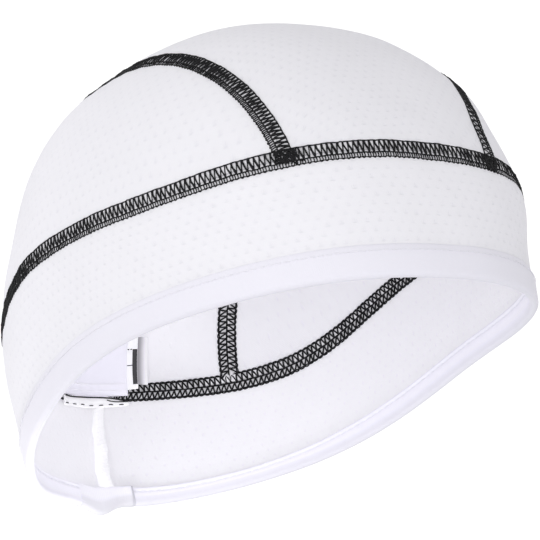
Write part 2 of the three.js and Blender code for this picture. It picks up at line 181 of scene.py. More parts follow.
def ripple(turn, up):
    """Small soft unevenness of the worn cloth, mm."""
    t = turn
    return (
        0.22 * np.sin(5 * t + 0.09 * up + 0.8)
        + 0.16 * np.sin(11 * t - 0.13 * up + 2.1)
        + 0.10 * np.sin(23 * t + 0.21 * up + 4.0)
    ) * np.clip(1 - np.abs(up) / 60.0, 0.25, 1)


def pucker(up, along):
    """The cloth pulled in a little beside a flatlock seam, mm."""
    return -0.35 * np.exp(-((np.abs(up) / 4.5) ** 2)) * (1 + 0.35 * np.sin(along * 2 * math.pi / 9.0))


def layer(p, lift, turn, up):
    q = p + outward(p) * (np.asarray(lift) - fold_depth(turn, up) + ripple(turn, up))[..., None]
    return lean(q)


def band_layer(turn, s, lift):
    """s mm from the band seam, above it on the crown, below it on the band."""
    turn, s, lift = np.broadcast_arrays(np.asarray(turn, float), np.asarray(s, float), np.asarray(lift, float))
    return layer(cloth_point(turn, s), lift + pucker(s, turn * 90), turn, s)


def leaning(turn, s):
    """The centre back seam leans: turn more for each mm below the band seam."""
    return turn + np.clip(-np.asarray(s, float), 0, None) * BACK_SEAM_LEAN * DEG


def strip_edge(y, side):
    ys = STRIP["y"]
    ws = STRIP["left"] if side > 0 else tuple(-v for v in STRIP["right"])
    x = 0.0
    for a, w in zip(ys, ws):
        for b in ys:
            if b != a:
                w = w * (y - b) / (a - b)
        x = x + w
    return x


def crown_layer_xy(x, y, lift):
    turn, disc = disc_of(x, y)
    p = crown_point(turn, disc)
    up = (1 - disc) * crown_scale(turn)
    beside = pucker(up, turn * 90)
    for side in (-1, 1):
        beside = beside + pucker((x - strip_edge(y, side)) * 1.15, y)
    return layer(p, lift + beside, turn, up)


def seam_end(side, end, inset):
    lo, hi = 0.0, 120.0 * end
    for _ in range(50):
        y = (lo + hi) / 2
        _, d = disc_of(np.array(strip_edge(y, side) + inset * side), np.array(y))
        if d < 1:
            lo = y
        else:
            hi = y
    return lo


# ---------------------------------------------------------------- mesh helpers
def new_object(name, verts, faces, mats, mat_index=None, uv=None, smooth=True, sharp=None):
    me = bpy.data.meshes.new(name)
    verts = np.asarray(verts, float).reshape(-1, 3)
    faces = np.asarray(faces) if not isinstance(faces, list) else faces
    if isinstance(faces, np.ndarray):
        n, k = faces.shape
        me.vertices.add(len(verts))
        me.vertices.foreach_set("co", verts.ravel())
        me.loops.add(n * k)
        me.loops.foreach_set("vertex_index", faces.ravel().astype(np.int32))
        me.polygons.add(n)
        me.polygons.foreach_set("loop_start", (np.arange(n) * k).astype(np.int32))
        me.update(calc_edges=True)
        me.validate()
    else:
        me.from_pydata([tuple(v) for v in verts], [], faces)
    for m in mats if isinstance(mats, (list, tuple)) else [mats]:
        me.materials.append(m)
    if mat_index is not None:
        me.polygons.foreach_set("material_index", np.asarray(mat_index, np.int32))
    if uv is not None:
        layer_uv = me.uv_layers.new(name="cloth")
        idx = np.empty(len(me.loops), np.int32)
        me.loops.foreach_get("vertex_index", idx)
        layer_uv.data.foreach_set("uv", np.asarray(uv, float).reshape(-1, 2)[idx].ravel())
    me.polygons.foreach_set("use_smooth", np.full(len(me.polygons), smooth))
    if sharp:
        me.set_sharp_from_angle(angle=sharp * DEG)
    me.update()
    ob = bpy.data.objects.new(name, me)
    bpy.context.scene.collection.objects.link(ob)
    return ob


def shell(name, nu, nv, point, outer, inner, uv, mats, round_edge=0.35):
    """A sheet with two faces and rounded edges. point(u, v, lift) works on arrays, uv(u, v) gives millimetres."""
    u, v = np.meshgrid(np.linspace(0, 1, nu + 1), np.linspace(0, 1, nv + 1), indexing="ij")
    mid = (outer + inner) / 2
    half = (outer - inner) / 2
    top = point(u, v, np.full_like(u, outer))
    low = point(u, v, np.full_like(u, inner))
    centre = point(u, v, np.full_like(u, mid))
    n_grid = (nu + 1) * (nv + 1)
    verts = [top.reshape(-1, 3), low.reshape(-1, 3)]
    uvs = [uv(u, v).reshape(-1, 2)] * 2
    idx = np.arange(n_grid).reshape(nu + 1, nv + 1)
    a, b, c, d = idx[:-1, :-1], idx[1:, :-1], idx[1:, 1:], idx[:-1, 1:]
    f_top = np.stack([a, b, c, d], -1).reshape(-1, 4)
    f_low = f_top[:, ::-1] + n_grid
    border = np.concatenate([idx[:, 0], idx[-1, 1:], idx[-2::-1, -1], idx[0, -2:0:-1]])
    # a rounded lip: one extra ring, pushed out a little from the edge
    cen = centre.reshape(-1, 3)[border]
    inward = np.concatenate([idx[:, 1], np.full(nv, 0), np.full(nu, 0), np.full(nv - 1, 0)])
    inner_pt = np.concatenate([
        centre[:, 1],
        centre[-2, 1:],
        centre[-2::-1, -2],
        centre[1, -2:0:-1],
    ])
    out = cen - inner_pt
    out /= np.maximum(np.linalg.norm(out, axis=1, keepdims=True), 1e-12)
    lip = cen + out * min(round_edge, half * 0.9) / 1000
    base = 2 * n_grid
    verts.append(lip)
    uvs.append(uv(u, v).reshape(-1, 2)[border])
    m = len(border)
    k = np.arange(m)
    k2 = (k + 1) % m
    f_e1 = np.stack([border[k], border[k2], base + k2, base + k], -1)
    f_e2 = np.stack([base + k, base + k2, border[k2] + n_grid, border[k] + n_grid], -1)
    faces = np.concatenate([f_top, f_low, f_e1[:, ::-1], f_e2[:, ::-1]])
    mat = np.concatenate([np.zeros(len(f_top)), np.ones(len(f_low)), np.zeros(len(f_e1)), np.ones(len(f_e2))])
    if len(mats) == 1:
        mat[:] = 0
    ob = new_object(name, np.concatenate(verts), faces, mats, mat, np.concatenate(uvs))
    fix_normals(ob)
    return ob


def fix_normals(ob):
    import bmesh

    bm = bmesh.new()
    bm.from_mesh(ob.data)
    bmesh.ops.recalc_face_normals(bm, faces=bm.faces)
    bm.to_mesh(ob.data)
    bm.free()


def tube_arrays(paths, ups, radius, sides=5):
    """paths (M, K, 3) metres, ups (M, K, 3) rough normals, radius a number or (M,) or (M, K), metres."""
    paths = np.asarray(paths, float)
    m, k, _ = paths.shape
    tan = np.gradient(paths, axis=1)
    tan /= np.maximum(np.linalg.norm(tan, axis=-1, keepdims=True), 1e-12)
    side = np.cross(tan, ups)
    side /= np.maximum(np.linalg.norm(side, axis=-1, keepdims=True), 1e-12)
    nrm = np.cross(side, tan)
    radius = np.broadcast_to(np.asarray(radius, float).reshape(-1, 1) if np.ndim(radius) == 1 else radius, (m, k))
    ang = np.arange(sides) * 2 * math.pi / sides
    ring = (
        paths[:, :, None]
        + radius[:, :, None, None] * (side[:, :, None] * np.cos(ang)[None, None, :, None] + nrm[:, :, None] * np.sin(ang)[None, None, :, None])
    )
    verts = ring.reshape(-1, 3)
    base = (np.arange(m)[:, None, None] * k + np.arange(k - 1)[None, :, None]) * sides
    j = np.arange(sides)[None, None, :]
    j2 = (j + 1) % sides
    quads = np.stack([base + j, base + sides + j, base + sides + j2, base + j2], -1).reshape(-1, 4)
    uv_t = np.broadcast_to(np.arange(k)[None, :, None] / (k - 1), (m, k, sides)).reshape(-1)
    uv_a = np.broadcast_to(np.arange(sides)[None, None, :] / sides, (m, k, sides)).reshape(-1)
    # pinch the ends shut
    first = (np.arange(m) * k * sides)[:, None] + np.arange(sides)[None]
    last = first + (k - 1) * sides
    return verts, quads, np.stack([uv_t, uv_a], -1), first, last, paths


class Threads:
    """Many thread tubes joined into one mesh."""

    def __init__(self, name, mat, sides=5):
        self.name, self.mat, self.sides = name, mat, sides
        self.verts, self.faces, self.uvs, self.count = [], [], [], 0

    def add(self, paths, ups, radius):
        paths = np.asarray(paths, float)
        if paths.ndim == 2:
            paths, ups = paths[None], np.asarray(ups)[None]
        m, k, _ = paths.shape
        radius = np.broadcast_to(np.asarray(radius, float).reshape(-1, 1) if np.ndim(radius) == 1 else radius, (m, k)).copy()
        verts, quads, uv, first, last, _ = tube_arrays(paths, ups, radius, self.sides)
        ends = np.concatenate([paths[:, 0], paths[:, -1]])
        n = len(verts)
        cap_first = np.stack([first, np.roll(first, -1, axis=1), np.broadcast_to((n + np.arange(m))[:, None], first.shape), np.broadcast_to((n + np.arange(m))[:, None], first.shape)], -1)
        cap_last = np.stack([np.roll(last, -1, axis=1), last, np.broadcast_to((n + m + np.arange(m))[:, None], last.shape), np.broadcast_to((n + m + np.arange(m))[:, None], last.shape)], -1)
        self.verts.append(np.concatenate([verts, ends]))
        self.uvs.append(np.concatenate([uv, np.zeros((2 * m, 2))]))
        self.faces.append((quads + self.count, cap_first[..., :3].reshape(-1, 3) + self.count, cap_last[..., :3].reshape(-1, 3) + self.count))
        self.count += n + 2 * m

    def build(self):
        verts = np.concatenate(self.verts)
        quads = np.concatenate([f[0] for f in self.faces])
        tris = np.concatenate([np.concatenate(f[1:]) for f in self.faces])
        tri_quads = np.concatenate([quads[:, [0, 1, 2]], quads[:, [0, 2, 3]], tris])
        return new_object(self.name, verts, tri_quads, self.mat, uv=np.concatenate(self.uvs))


def smooth_path(points, k):
    """Catmull-Rom through (M, N, 3) control points, k samples in all."""
    p = np.asarray(points, float)
    m, n, dim = p.shape
    ext = np.concatenate([2 * p[:, :1] - p[:, 1:2], p, 2 * p[:, -1:] - p[:, -2:-1]], axis=1)
    t = np.linspace(0, n - 1, k)
    i = np.clip(t.astype(int), 0, n - 2)
    f = (t - i)[None, :, None]
    p0, p1, p2, p3 = ext[:, i], ext[:, i + 1], ext[:, i + 2], ext[:, i + 3]
    return 0.5 * (2 * p1 + (p2 - p0) * f + (2 * p0 - 5 * p1 + 4 * p2 - p3) * f**2 + (3 * p1 - p0 - 3 * p2 + p3) * f**3)


# ---------------------------------------------------------------- materials
def material(name):
    m = bpy.data.materials.new(name)
    m.use_nodes = True
    nt = m.node_tree
    bsdf = next(n for n in nt.nodes if n.type == "BSDF_PRINCIPLED")
    return m, nt, bsdf


class N:
    """Short hand for nodes."""

    def __init__(self, nt):
        self.nt = nt

    def new(self, kind, **props):
        n = self.nt.nodes.new(kind)
        for k, v in props.items():
            setattr(n, k, v)
        return n

    def link(self, a, b):
        self.nt.links.new(a, b)

    def math(self, op, a, b=None, c=None, clamp=False):
        n = self.new("ShaderNodeMath", operation=op, use_clamp=clamp)
        for i, v in enumerate((a, b, c)):
            if v is None:
                continue
            if isinstance(v, (int, float)):
                n.inputs[i].default_value = v
            else:
                self.link(v, n.inputs[i])
        return n.outputs[0]

    def ramp(self, value, lo, hi, a=0.0, b=1.0):
        n = self.new("ShaderNodeMapRange", interpolation_type="SMOOTHSTEP")
        self.link(value, n.inputs["Value"])
        n.inputs["From Min"].default_value = lo
        n.inputs["From Max"].default_value = hi
        n.inputs["To Min"].default_value = a
        n.inputs["To Max"].default_value = b
        return n.outputs[0]

    def mix(self, fac, a, b):
        n = self.new("ShaderNodeMix", data_type="RGBA")
        self.link(fac, n.inputs["Factor"])
        for sock, v in ((n.inputs[6], a), (n.inputs[7], b)):
            if isinstance(v, tuple):
                sock.default_value = (*v, 1.0)
            else:
                self.link(v, sock)
        return n.outputs[2]


def cloth_material(name, base, dark, dot_w, dot_h, pitch=(3.8, 3.1), size=0.95, dent=0.5, shade=1.0, rib=0.35, see=0.2, glow=0.0, ticks=False):
    """Fine knit with rows of small dimples, laid out in millimetres on the cloth's own map."""
    m, nt, bsdf = material(name)
    n = N(nt)
    uv = n.new("ShaderNodeUVMap", uv_map="cloth")
    sep = n.new("ShaderNodeSeparateXYZ")
    n.link(uv.outputs[0], sep.inputs[0])
    wob = n.new("ShaderNodeTexNoise", noise_dimensions="2D")
    wob.inputs["Scale"].default_value = 0.09
    wob.inputs["Detail"].default_value = 1.0
    n.link(uv.outputs[0], wob.inputs["Vector"])
    wx = n.math("MULTIPLY", n.math("SUBTRACT", wob.outputs["Fac"], 0.5), 1.6)
    x = n.math("ADD", sep.outputs[0], wx)
    y = n.math("ADD", sep.outputs[1], wx)
    row = n.math("DIVIDE", y, pitch[1])
    rowi = n.math("FLOOR", row)
    odd = n.math("MODULO", n.math("ABSOLUTE", rowi), 2.0)
    col = n.math("ADD", n.math("DIVIDE", x, pitch[0]), n.math("MULTIPLY", odd, 0.5))
    coli = n.math("FLOOR", col)
    gx = n.math("MULTIPLY", n.math("SUBTRACT", n.math("SUBTRACT", col, coli), 0.5), pitch[0])
    gy = n.math("MULTIPLY", n.math("SUBTRACT", n.math("SUBTRACT", row, rowi), 0.5), pitch[1])

    def spot(wide, tall, lower, outer, inner):
        fx = n.math("DIVIDE", gx, wide)
        fy = n.math("DIVIDE", n.math("ADD", gy, lower), tall)
        dist = n.math("SQRT", n.math("ADD", n.math("MULTIPLY", fx, fx), n.math("MULTIPLY", fy, fy)))
        return n.ramp(dist, outer, inner)

    if ticks:
        # a small cup: a bar with short upright ticks above it
        comb = n.math("ADD", n.math("MULTIPLY", n.math("COSINE", n.math("MULTIPLY", gx, 2 * math.pi / 0.62)), 0.45), 0.55)
        cup = n.math("MULTIPLY", spot(dot_w * 0.95, dot_h * 1.5, -0.15, size * 1.1, size * 0.2), n.math("MULTIPLY", comb, 0.7))
        dot = n.math("MAXIMUM", spot(dot_w * 0.9, dot_h * 0.6, 0.45, size * 1.25, size * 0.2), cup)
    else:
        dot = spot(dot_w, dot_h, 0.0, size * 1.25, size * 0.1)
    cell = n.new("ShaderNodeCombineXYZ")
    n.link(coli, cell.inputs[0])
    n.link(rowi, cell.inputs[1])
    white = n.new("ShaderNodeTexWhiteNoise", noise_dimensions="2D")
    n.link(cell.outputs[0], white.inputs["Vector"])
    strength = n.math("ADD", n.math("MULTIPLY", white.outputs["Value"], 0.5), 0.5)
    dot_s = n.math("MULTIPLY", dot, strength)
    # fine knit loops
    ribs = n.math("MULTIPLY", n.math("SINE", n.math("MULTIPLY", sep.outputs[0], 2 * math.pi / 0.62)), n.math("SINE", n.math("MULTIPLY", sep.outputs[1], 2 * math.pi / 0.48)))
    fuzz = n.new("ShaderNodeTexNoise", noise_dimensions="2D")
    fuzz.inputs["Scale"].default_value = 1.3
    fuzz.inputs["Detail"].default_value = 3.0
    n.link(uv.outputs[0], fuzz.inputs["Vector"])
    cloud = n.new("ShaderNodeTexNoise", noise_dimensions="2D")
    cloud.inputs["Scale"].default_value = 0.035
    cloud.inputs["Detail"].default_value = 2.0
    n.link(uv.outputs[0], cloud.inputs["Vector"])
    tone = n.math("ADD", n.math("MULTIPLY", dot_s, 0.85 * shade), n.math("MULTIPLY", n.math("SUBTRACT", fuzz.outputs["Fac"], 0.5), 0.25), clamp=True)
    tone = n.math("ADD", tone, n.math("MULTIPLY", n.math("SUBTRACT", cloud.outputs["Fac"], 0.5), 0.12), clamp=True)
    n.link(n.mix(tone, base, dark), bsdf.inputs["Base Color"])
    height = n.math("SUBTRACT", n.math("ADD", n.math("MULTIPLY", ribs, 0.10 * rib), n.math("MULTIPLY", fuzz.outputs["Fac"], 0.25)), n.math("MULTIPLY", dot_s, dent))
    bump = n.new("ShaderNodeBump")
    bump.inputs["Strength"].default_value = 0.55
    bump.inputs["Distance"].default_value = 0.0004
    n.link(height, bump.inputs["Height"])
    n.link(bump.outputs[0], bsdf.inputs["Normal"])
    rough = n.math("ADD", n.math("MULTIPLY", fuzz.outputs["Fac"], 0.12), 0.80)
    n.link(rough, bsdf.inputs["Roughness"])
    bsdf.inputs["Sheen Weight"].default_value = 0.12
    bsdf.inputs["Sheen Roughness"].default_value = 0.5
    bsdf.inputs["Specular IOR Level"].default_value = 0.2
    see_through(nt, bsdf, see, base)
    if glow:
        glow_by_place(n, bsdf, base, glow, glow + 0.13)
    return m


def soft_glow(bsdf, color, strength):
    """Stands for the daylight that many more bounces and the thin cloth bring inside."""
    bsdf.inputs["Emission Color"].default_value = (*color, 1)
    bsdf.inputs["Emission Strength"].default_value = strength


def glow_by_place(n, bsdf, color, low, high):
    """More of that daylight at the back wall and towards the wearer's right, from the place on the cap, in metres."""
    tc = n.new("ShaderNodeTexCoord")
    sep = n.new("ShaderNodeSeparateXYZ")
    n.link(tc.outputs["Object"], sep.inputs[0])
    back = n.math("MULTIPLY", n.ramp(sep.outputs[1], 0.062, 0.090), n.ramp(sep.outputs[2], -0.118, -0.096))
    back = n.math("MULTIPLY", back, n.ramp(sep.outputs[0], 0.058, 0.022))
    right = n.math("MULTIPLY", n.ramp(sep.outputs[0], 0.012, -0.022), n.ramp(sep.outputs[1], 0.0, 0.05))
    share = n.math("MAXIMUM", back, right)
    n.link(n.mix(share, tuple(c * low for c in color), tuple(c * high for c in color)), bsdf.inputs["Emission Color"])
    bsdf.inputs["Emission Strength"].default_value = 1.0


def see_through(nt, bsdf, share, color):
    """Thin white cloth lets some daylight through."""
    if share <= 0:
        return
    out = next(x for x in nt.nodes if x.type == "OUTPUT_MATERIAL")
    thin = nt.nodes.new("ShaderNodeBsdfTranslucent")
    thin.inputs["Color"].default_value = (*color, 1)
    mix = nt.nodes.new("ShaderNodeMixShader")
    mix.inputs[0].default_value = share
    nt.links.new(bsdf.outputs[0], mix.inputs[1])
    nt.links.new(thin.outputs[0], mix.inputs[2])
    nt.links.new(mix.outputs[0], out.inputs["Surface"])


def elastic_material(name, base, dark, glow=0.0, fold=None, dim=0.82):
    """Smooth elastic knit with very fine ribs. With fold, a band of the map is darkened towards dim times the base
    colour: painted shade on the fold's underside.
    """
    m, nt, bsdf = material(name)
    n = N(nt)
    uv = n.new("ShaderNodeUVMap", uv_map="cloth")
    sep = n.new("ShaderNodeSeparateXYZ")
    n.link(uv.outputs[0], sep.inputs[0])
    rib = n.math("SINE", n.math("MULTIPLY", sep.outputs[0], 2 * math.pi / 0.7))
    fuzz = n.new("ShaderNodeTexNoise", noise_dimensions="2D")
    fuzz.inputs["Scale"].default_value = 0.8
    fuzz.inputs["Detail"].default_value = 3.0
    n.link(uv.outputs[0], fuzz.inputs["Vector"])
    tone = n.math("MULTIPLY", fuzz.outputs["Fac"], 0.35)
    if fold:
        # painted shade, not wear: the band on the fold's underside is darkened
        worn = n.math("MULTIPLY", n.ramp(sep.outputs[1], fold[0], fold[1]), n.ramp(sep.outputs[1], fold[3], fold[2]))
        tone = n.math("ADD", n.math("MULTIPLY", tone, 0.3), n.math("MULTIPLY", worn, 0.85))
        dark = tuple(v * dim for v in base)
    n.link(n.mix(tone, base, dark), bsdf.inputs["Base Color"])
    height = n.math("ADD", n.math("MULTIPLY", rib, 0.10), n.math("MULTIPLY", fuzz.outputs["Fac"], 0.3))
    bump = n.new("ShaderNodeBump")
    bump.inputs["Strength"].default_value = 0.35
    bump.inputs["Distance"].default_value = 0.0003
    n.link(height, bump.inputs["Height"])
    n.link(bump.outputs[0], bsdf.inputs["Normal"])
    n.link(n.math("ADD", n.math("MULTIPLY", fuzz.outputs["Fac"], 0.1), 0.62), bsdf.inputs["Roughness"])
    bsdf.inputs["Sheen Weight"].default_value = 0.2
    bsdf.inputs["Specular IOR Level"].default_value = 0.3
    if glow:
        glow_by_place(n, bsdf, base, glow, glow + 0.13)
    return m


def thread_material(name, base, pale, rough=0.5, glow=0.0):
    """Plied thread: a slanting twist along each strand."""
    m, nt, bsdf = material(name)
    n = N(nt)
    uv = n.new("ShaderNodeUVMap", uv_map="cloth")
    sep = n.new("ShaderNodeSeparateXYZ")
    n.link(uv.outputs[0], sep.inputs[0])
    twist = n.math("SINE", n.math("ADD", n.math("MULTIPLY", sep.outputs[0], 40.0), n.math("MULTIPLY", sep.outputs[1], 2 * math.pi)))
    tone = n.ramp(twist, -0.2, 1.0)
    n.link(n.mix(tone, base, pale), bsdf.inputs["Base Color"])
    bump = n.new("ShaderNodeBump")
    bump.inputs["Strength"].default_value = 0.4
    bump.inputs["Distance"].default_value = 0.0001
    n.link(twist, bump.inputs["Height"])
    n.link(bump.outputs[0], bsdf.inputs["Normal"])
    bsdf.inputs["Roughness"].default_value = rough
    bsdf.inputs["Specular IOR Level"].default_value = 0.2
    soft_glow(bsdf, base, glow)
    return m


def satin_material(name, base, dark, glow=0.0):
    m, nt, bsdf = material(name)
    n = N(nt)
    uv = n.new("ShaderNodeUVMap", uv_map="cloth")
    sep = n.new("ShaderNodeSeparateXYZ")
    n.link(uv.outputs[0], sep.inputs[0])
    weave = n.math("SINE", n.math("MULTIPLY", n.math("ADD", sep.outputs[0], n.math("MULTIPLY", sep.outputs[1], 0.5)), 2 * math.pi / 0.3))
    fuzz = n.new("ShaderNodeTexNoise", noise_dimensions="2D")
    fuzz.inputs["Scale"].default_value = 0.5
    fuzz.inputs["Detail"].default_value = 2.0
    n.link(uv.outputs[0], fuzz.inputs["Vector"])
    n.link(n.mix(n.math("MULTIPLY", fuzz.outputs["Fac"], 0.5), base, dark), bsdf.inputs["Base Color"])
    bump = n.new("ShaderNodeBump")
    bump.inputs["Strength"].default_value = 0.25
    bump.inputs["Distance"].default_value = 0.0001
    n.link(n.math("ADD", weave, n.math("MULTIPLY", fuzz.outputs["Fac"], 3.0)), bump.inputs["Height"])
    n.link(bump.outputs[0], bsdf.inputs["Normal"])
    bsdf.inputs["Roughness"].default_value = 0.42
    bsdf.inputs["Sheen Weight"].default_value = 0.15
    soft_glow(bsdf, base, glow)
    return m


JERSEY = cloth_material("jersey_outside", (0.935, 0.928, 0.962), (0.80, 0.79, 0.85), 1.0, 0.72, size=1.0, dent=0.68, shade=0.54, see=0.2, ticks=True)
LINING = cloth_material("jersey_lining", (0.945, 0.938, 0.968), (0.80, 0.79, 0.85), 0.6, 1.0, dent=0.45, shade=0.40, rib=0.6, see=0.2, glow=0.085)
# One elastic in three copies: the inner face and the lap get lighter base colours than the outer face, as painted
# light for the cap's inside, besides their glow. Their fold bands are painted shade on the fold's underside.
ELASTIC = elastic_material("binding_elastic", (0.825, 0.812, 0.885), (0.785, 0.772, 0.85))
ELASTIC_IN = elastic_material("binding_elastic_inside", (0.885, 0.873, 0.955), (0.845, 0.835, 0.92), glow=0.085, fold=(9.5, 11.5, 13.5, 17.0))
ELASTIC_LAP = elastic_material("binding_elastic_lap", (0.86, 0.85, 0.915), (0.82, 0.81, 0.875), glow=0.085, fold=(5.5, 8.0, 11.2, 13.6), dim=0.74)
# A dark copy of the binding elastic for the lap's end face: painted shade, the shadowed crease line at the lap's end
CREASE_SHADE = elastic_material("binding_crease_painted_shade", (0.68, 0.67, 0.74), (0.60, 0.59, 0.66))
BLACK = thread_material("thread_black", (0.005, 0.005, 0.006), (0.018, 0.018, 0.021), 0.6)
WHITE = thread_material("thread_white", (0.90, 0.89, 0.93), (0.95, 0.94, 0.97), 0.65, glow=0.14)
PALE = thread_material("thread_binding", (0.90, 0.89, 0.955), (0.95, 0.945, 0.985), 0.65)
TAPE = satin_material("tape_white", (0.94, 0.935, 0.955), (0.88, 0.87, 0.90), glow=0.12)
SATIN = satin_material("label_satin", (0.93, 0.915, 1.0), (0.88, 0.86, 0.98), glow=0.13)
CARE = satin_material("care_label_white", (0.95, 0.95, 0.96), (0.92, 0.92, 0.94), glow=0.2)
# The second ply's colour is a painted shadow beside the care label: dark grey at its free edge, ramping to near white
# where it meets the lining. Its emission, rising along the same ramp, is painted light.
PLY_SHADOW = satin_material("care_label_ply_painted_shadow", (0.56, 0.55, 0.58), (0.50, 0.49, 0.52))
_n = N(PLY_SHADOW.node_tree)
_bsdf = next(x for x in PLY_SHADOW.node_tree.nodes if x.type == "BSDF_PRINCIPLED")
_uv = _n.new("ShaderNodeUVMap", uv_map="cloth")
_sep = _n.new("ShaderNodeSeparateXYZ")
_n.link(_uv.outputs[0], _sep.inputs[0])
# ramp across the ply: the painted shadow fading out and the painted light rising
_over = _n.ramp(_sep.outputs[0], 0.2, 4.4)
_n.link(_n.mix(_over, (0.36, 0.35, 0.38), (0.92, 0.91, 0.95)), _bsdf.inputs["Base Color"])
_n.link(_n.mix(_over, (0.0, 0.0, 0.0), (0.16, 0.158, 0.165)), _bsdf.inputs["Emission Color"])
_bsdf.inputs["Emission Strength"].default_value = 1.0
INK = satin_material("label_ink", (0.035, 0.035, 0.038), (0.07, 0.07, 0.075))
RIDGE = cloth_material("seam_ridge", (0.95, 0.945, 0.965), (0.90, 0.89, 0.92), 0.5, 1.0, dent=0.1, shade=0.2, rib=0.6, see=0.1, glow=0.13)


def finish_piece(ob, nodes):
    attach(ob, "root")
    if nodes:
        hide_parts(*([nodes] if isinstance(nodes, str) else nodes))
    return ob


# ---------------------------------------------------------------- cloth panels
HALF_GAP = GAP / 2
EDGE_DISC = 1 - HALF_GAP / 110


def seam_station(side, t, inset):
    y0, y1 = seam_end(side, -1, inset), seam_end(side, 1, inset)
    c = (1 - np.cos(math.pi * t)) / 2
    y = y0 + (y1 - y0) * (0.25 * t + 0.75 * c)
    turn, disc = disc_of(strip_edge(y, side) + inset * side, y)
    return turn, np.minimum(disc, EDGE_DISC)


def to_flat(turn, disc):
    return np.stack([disc * np.sin(turn), -disc * np.cos(turn)], -1)


def flat_to_layer(flat, lift):
    turn = np.arctan2(flat[..., 0], -flat[..., 1])
    disc = np.hypot(flat[..., 0], flat[..., 1])
    p = crown_point(turn, disc)
    return crown_layer_xy(p[..., 0], p[..., 1], lift)


def turns_between(a, b):
    return (b - a + math.pi) % (2 * math.pi) - math.pi


def centre_flat(t, u):
    tL, dL = seam_station(1, t, -HALF_GAP)
    tR, dR = seam_station(-1, t, -HALF_GAP)
    L, R = to_flat(tL, dL), to_flat(tR, dR)
    zero, one = np.zeros_like(t), np.ones_like(t)

    def corner(side, end):
        a, d = seam_station(side, end, -HALF_GAP)
        return a, to_flat(a, d)

    aR0, cR0 = corner(-1, zero)
    aL0, cL0 = corner(1, zero)
    aR1, cR1 = corner(-1, one)
    aL1, cL1 = corner(1, one)
    F = to_flat(aR0 + turns_between(aR0, aL0) * u, np.full_like(u, EDGE_DISC))
    B = to_flat(aR1 + turns_between(aR1, aL1) * u, np.full_like(u, EDGE_DISC))
    U, T = u[..., None], t[..., None]
    return (
        R * (1 - U) + L * U + F * (1 - T) + B * T
        - cR0 * (1 - U) * (1 - T) - cL0 * U * (1 - T) - cR1 * (1 - U) * T - cL1 * U * T
    )


def grid_mm(point, u, v):
    """Lengths along the cloth for a map in millimetres, from the middle row and column."""
    P = point(u, v, np.zeros_like(u)) * 1000
    du = np.linalg.norm(np.diff(P, axis=0), axis=-1)
    dv = np.linalg.norm(np.diff(P, axis=1), axis=-1)
    cu = np.concatenate([np.zeros((1, P.shape[1])), np.cumsum(du, axis=0)])
    cv = np.concatenate([np.zeros((P.shape[0], 1)), np.cumsum(dv, axis=1)], axis=1)
    mid_u = cu[cu.shape[0] // 2]
    mid_v = cv[:, cv.shape[1] // 2]
    return cu - mid_u[None, :], cv - mid_v[:, None]


def centre_point(t, u, lift):
    return flat_to_layer(centre_flat(t, u), lift)


def centre_uv(t, u):
    a, b = grid_mm(centre_point, t, u)
    return np.stack([b, a], -1)


centre = shell("crown_centre_cloth", 168, 72, centre_point, 0.0, -CLOTH, centre_uv, [JERSEY, LINING])
finish_piece(centre, "crown_centre")


def side_panel(side, name, node):
    start = 0.008

    def flat(t, u0):
        u = 1 - (1 - u0) ** 1.3
        e_turn, e_disc = seam_station(side, start + t * (1 - 2 * start), HALF_GAP)
        a0, _ = seam_station(side, np.full_like(t, start), HALF_GAP)
        a1, _ = seam_station(side, np.full_like(t, 1 - start), HALF_GAP)
        swing = side * np.abs(turns_between(a0, a1))
        arc = to_flat(a0 + swing * (0.35 * t + 0.65 * (1 - np.cos(math.pi * t)) / 2), np.full_like(t, EDGE_DISC))
        return to_flat(e_turn, e_disc) * (1 - u[..., None]) + arc * u[..., None]

    def point(t, u, lift):
        return flat_to_layer(flat(t, u), lift)

    def uv(t, u):
        f = flat(t, u)
        turn = np.arctan2(f[..., 0], -f[..., 1])
        disc = np.hypot(f[..., 0], f[..., 1])
        p = crown_point(turn, disc)
        return np.stack([p[..., 1] * 1.06, (1 - disc) * 118 + 0.0 * p[..., 2]], -1)

    ob = shell(name, 150, 60, point, 0.0, -CLOTH, uv, [JERSEY, LINING])
    finish_piece(ob, node)
    return ob


side_right = side_panel(-1, "crown_right_cloth", "crown_side_right")
side_left = side_panel(1, "crown_left_cloth", "crown_side_left")

BACK = BACK_SEAM_AT * DEG
ROUND_MM = 545.0


def round_turn(t, gap):
    g = gap / 2 / 100
    return BACK + g + t * (2 * math.pi - 2 * g)


def band_grid(t, u, lift):
    turn = round_turn(t, GAP)
    length = band_length(turn)
    s = -HALF_GAP - (1 - u) * (length - HALF_GAP - BAND_FOOT)
    return band_layer(leaning(turn, s), s, lift)


def band_uv(t, u):
    turn = round_turn(t, GAP)
    return np.stack([t * ROUND_MM, u * 42.0], -1)


band = shell("band_cloth", 420, 32, band_grid, 0.0, -CLOTH, band_uv, [JERSEY, LINING])
finish_piece(band, "band")


# ---------------------------------------------------------------- binding
def rim_layer(turn, h, lift):
    turn, h, lift = np.broadcast_arrays(np.asarray(turn, float), np.asarray(h, float), np.asarray(lift, float))
    s = h - band_length(turn)
    at = leaning(turn, s)
    return band_layer_low(at, 1 + s / band_length(at), lift, s)


def band_layer_low(turn, level, lift, s):
    p = band_point(turn, level)
    return layer(p, lift, turn, s)


def inside_height(turn):
    d = (turn / DEG) % 360
    wide = np.where(d < INSIDE_DIP["at"], INSIDE_DIP["before"], INSIDE_DIP["after"])
    return BINDING_INSIDE - INSIDE_DIP["deep"] * np.exp(-(((d - INSIDE_DIP["at"]) / wide) ** 2))


def inside_level(turn, h):
    """A height of the section's inner face, fitted under the binding's inside edge at this turn."""
    top = inside_height(turn)
    below = 3.0 + (h - 3.0) * (top - 5.0) / (BINDING_INSIDE - 5.0)
    return np.where(h <= 3.0, h, np.where(h >= BINDING_INSIDE - 2.0, h - BINDING_INSIDE + top, below))


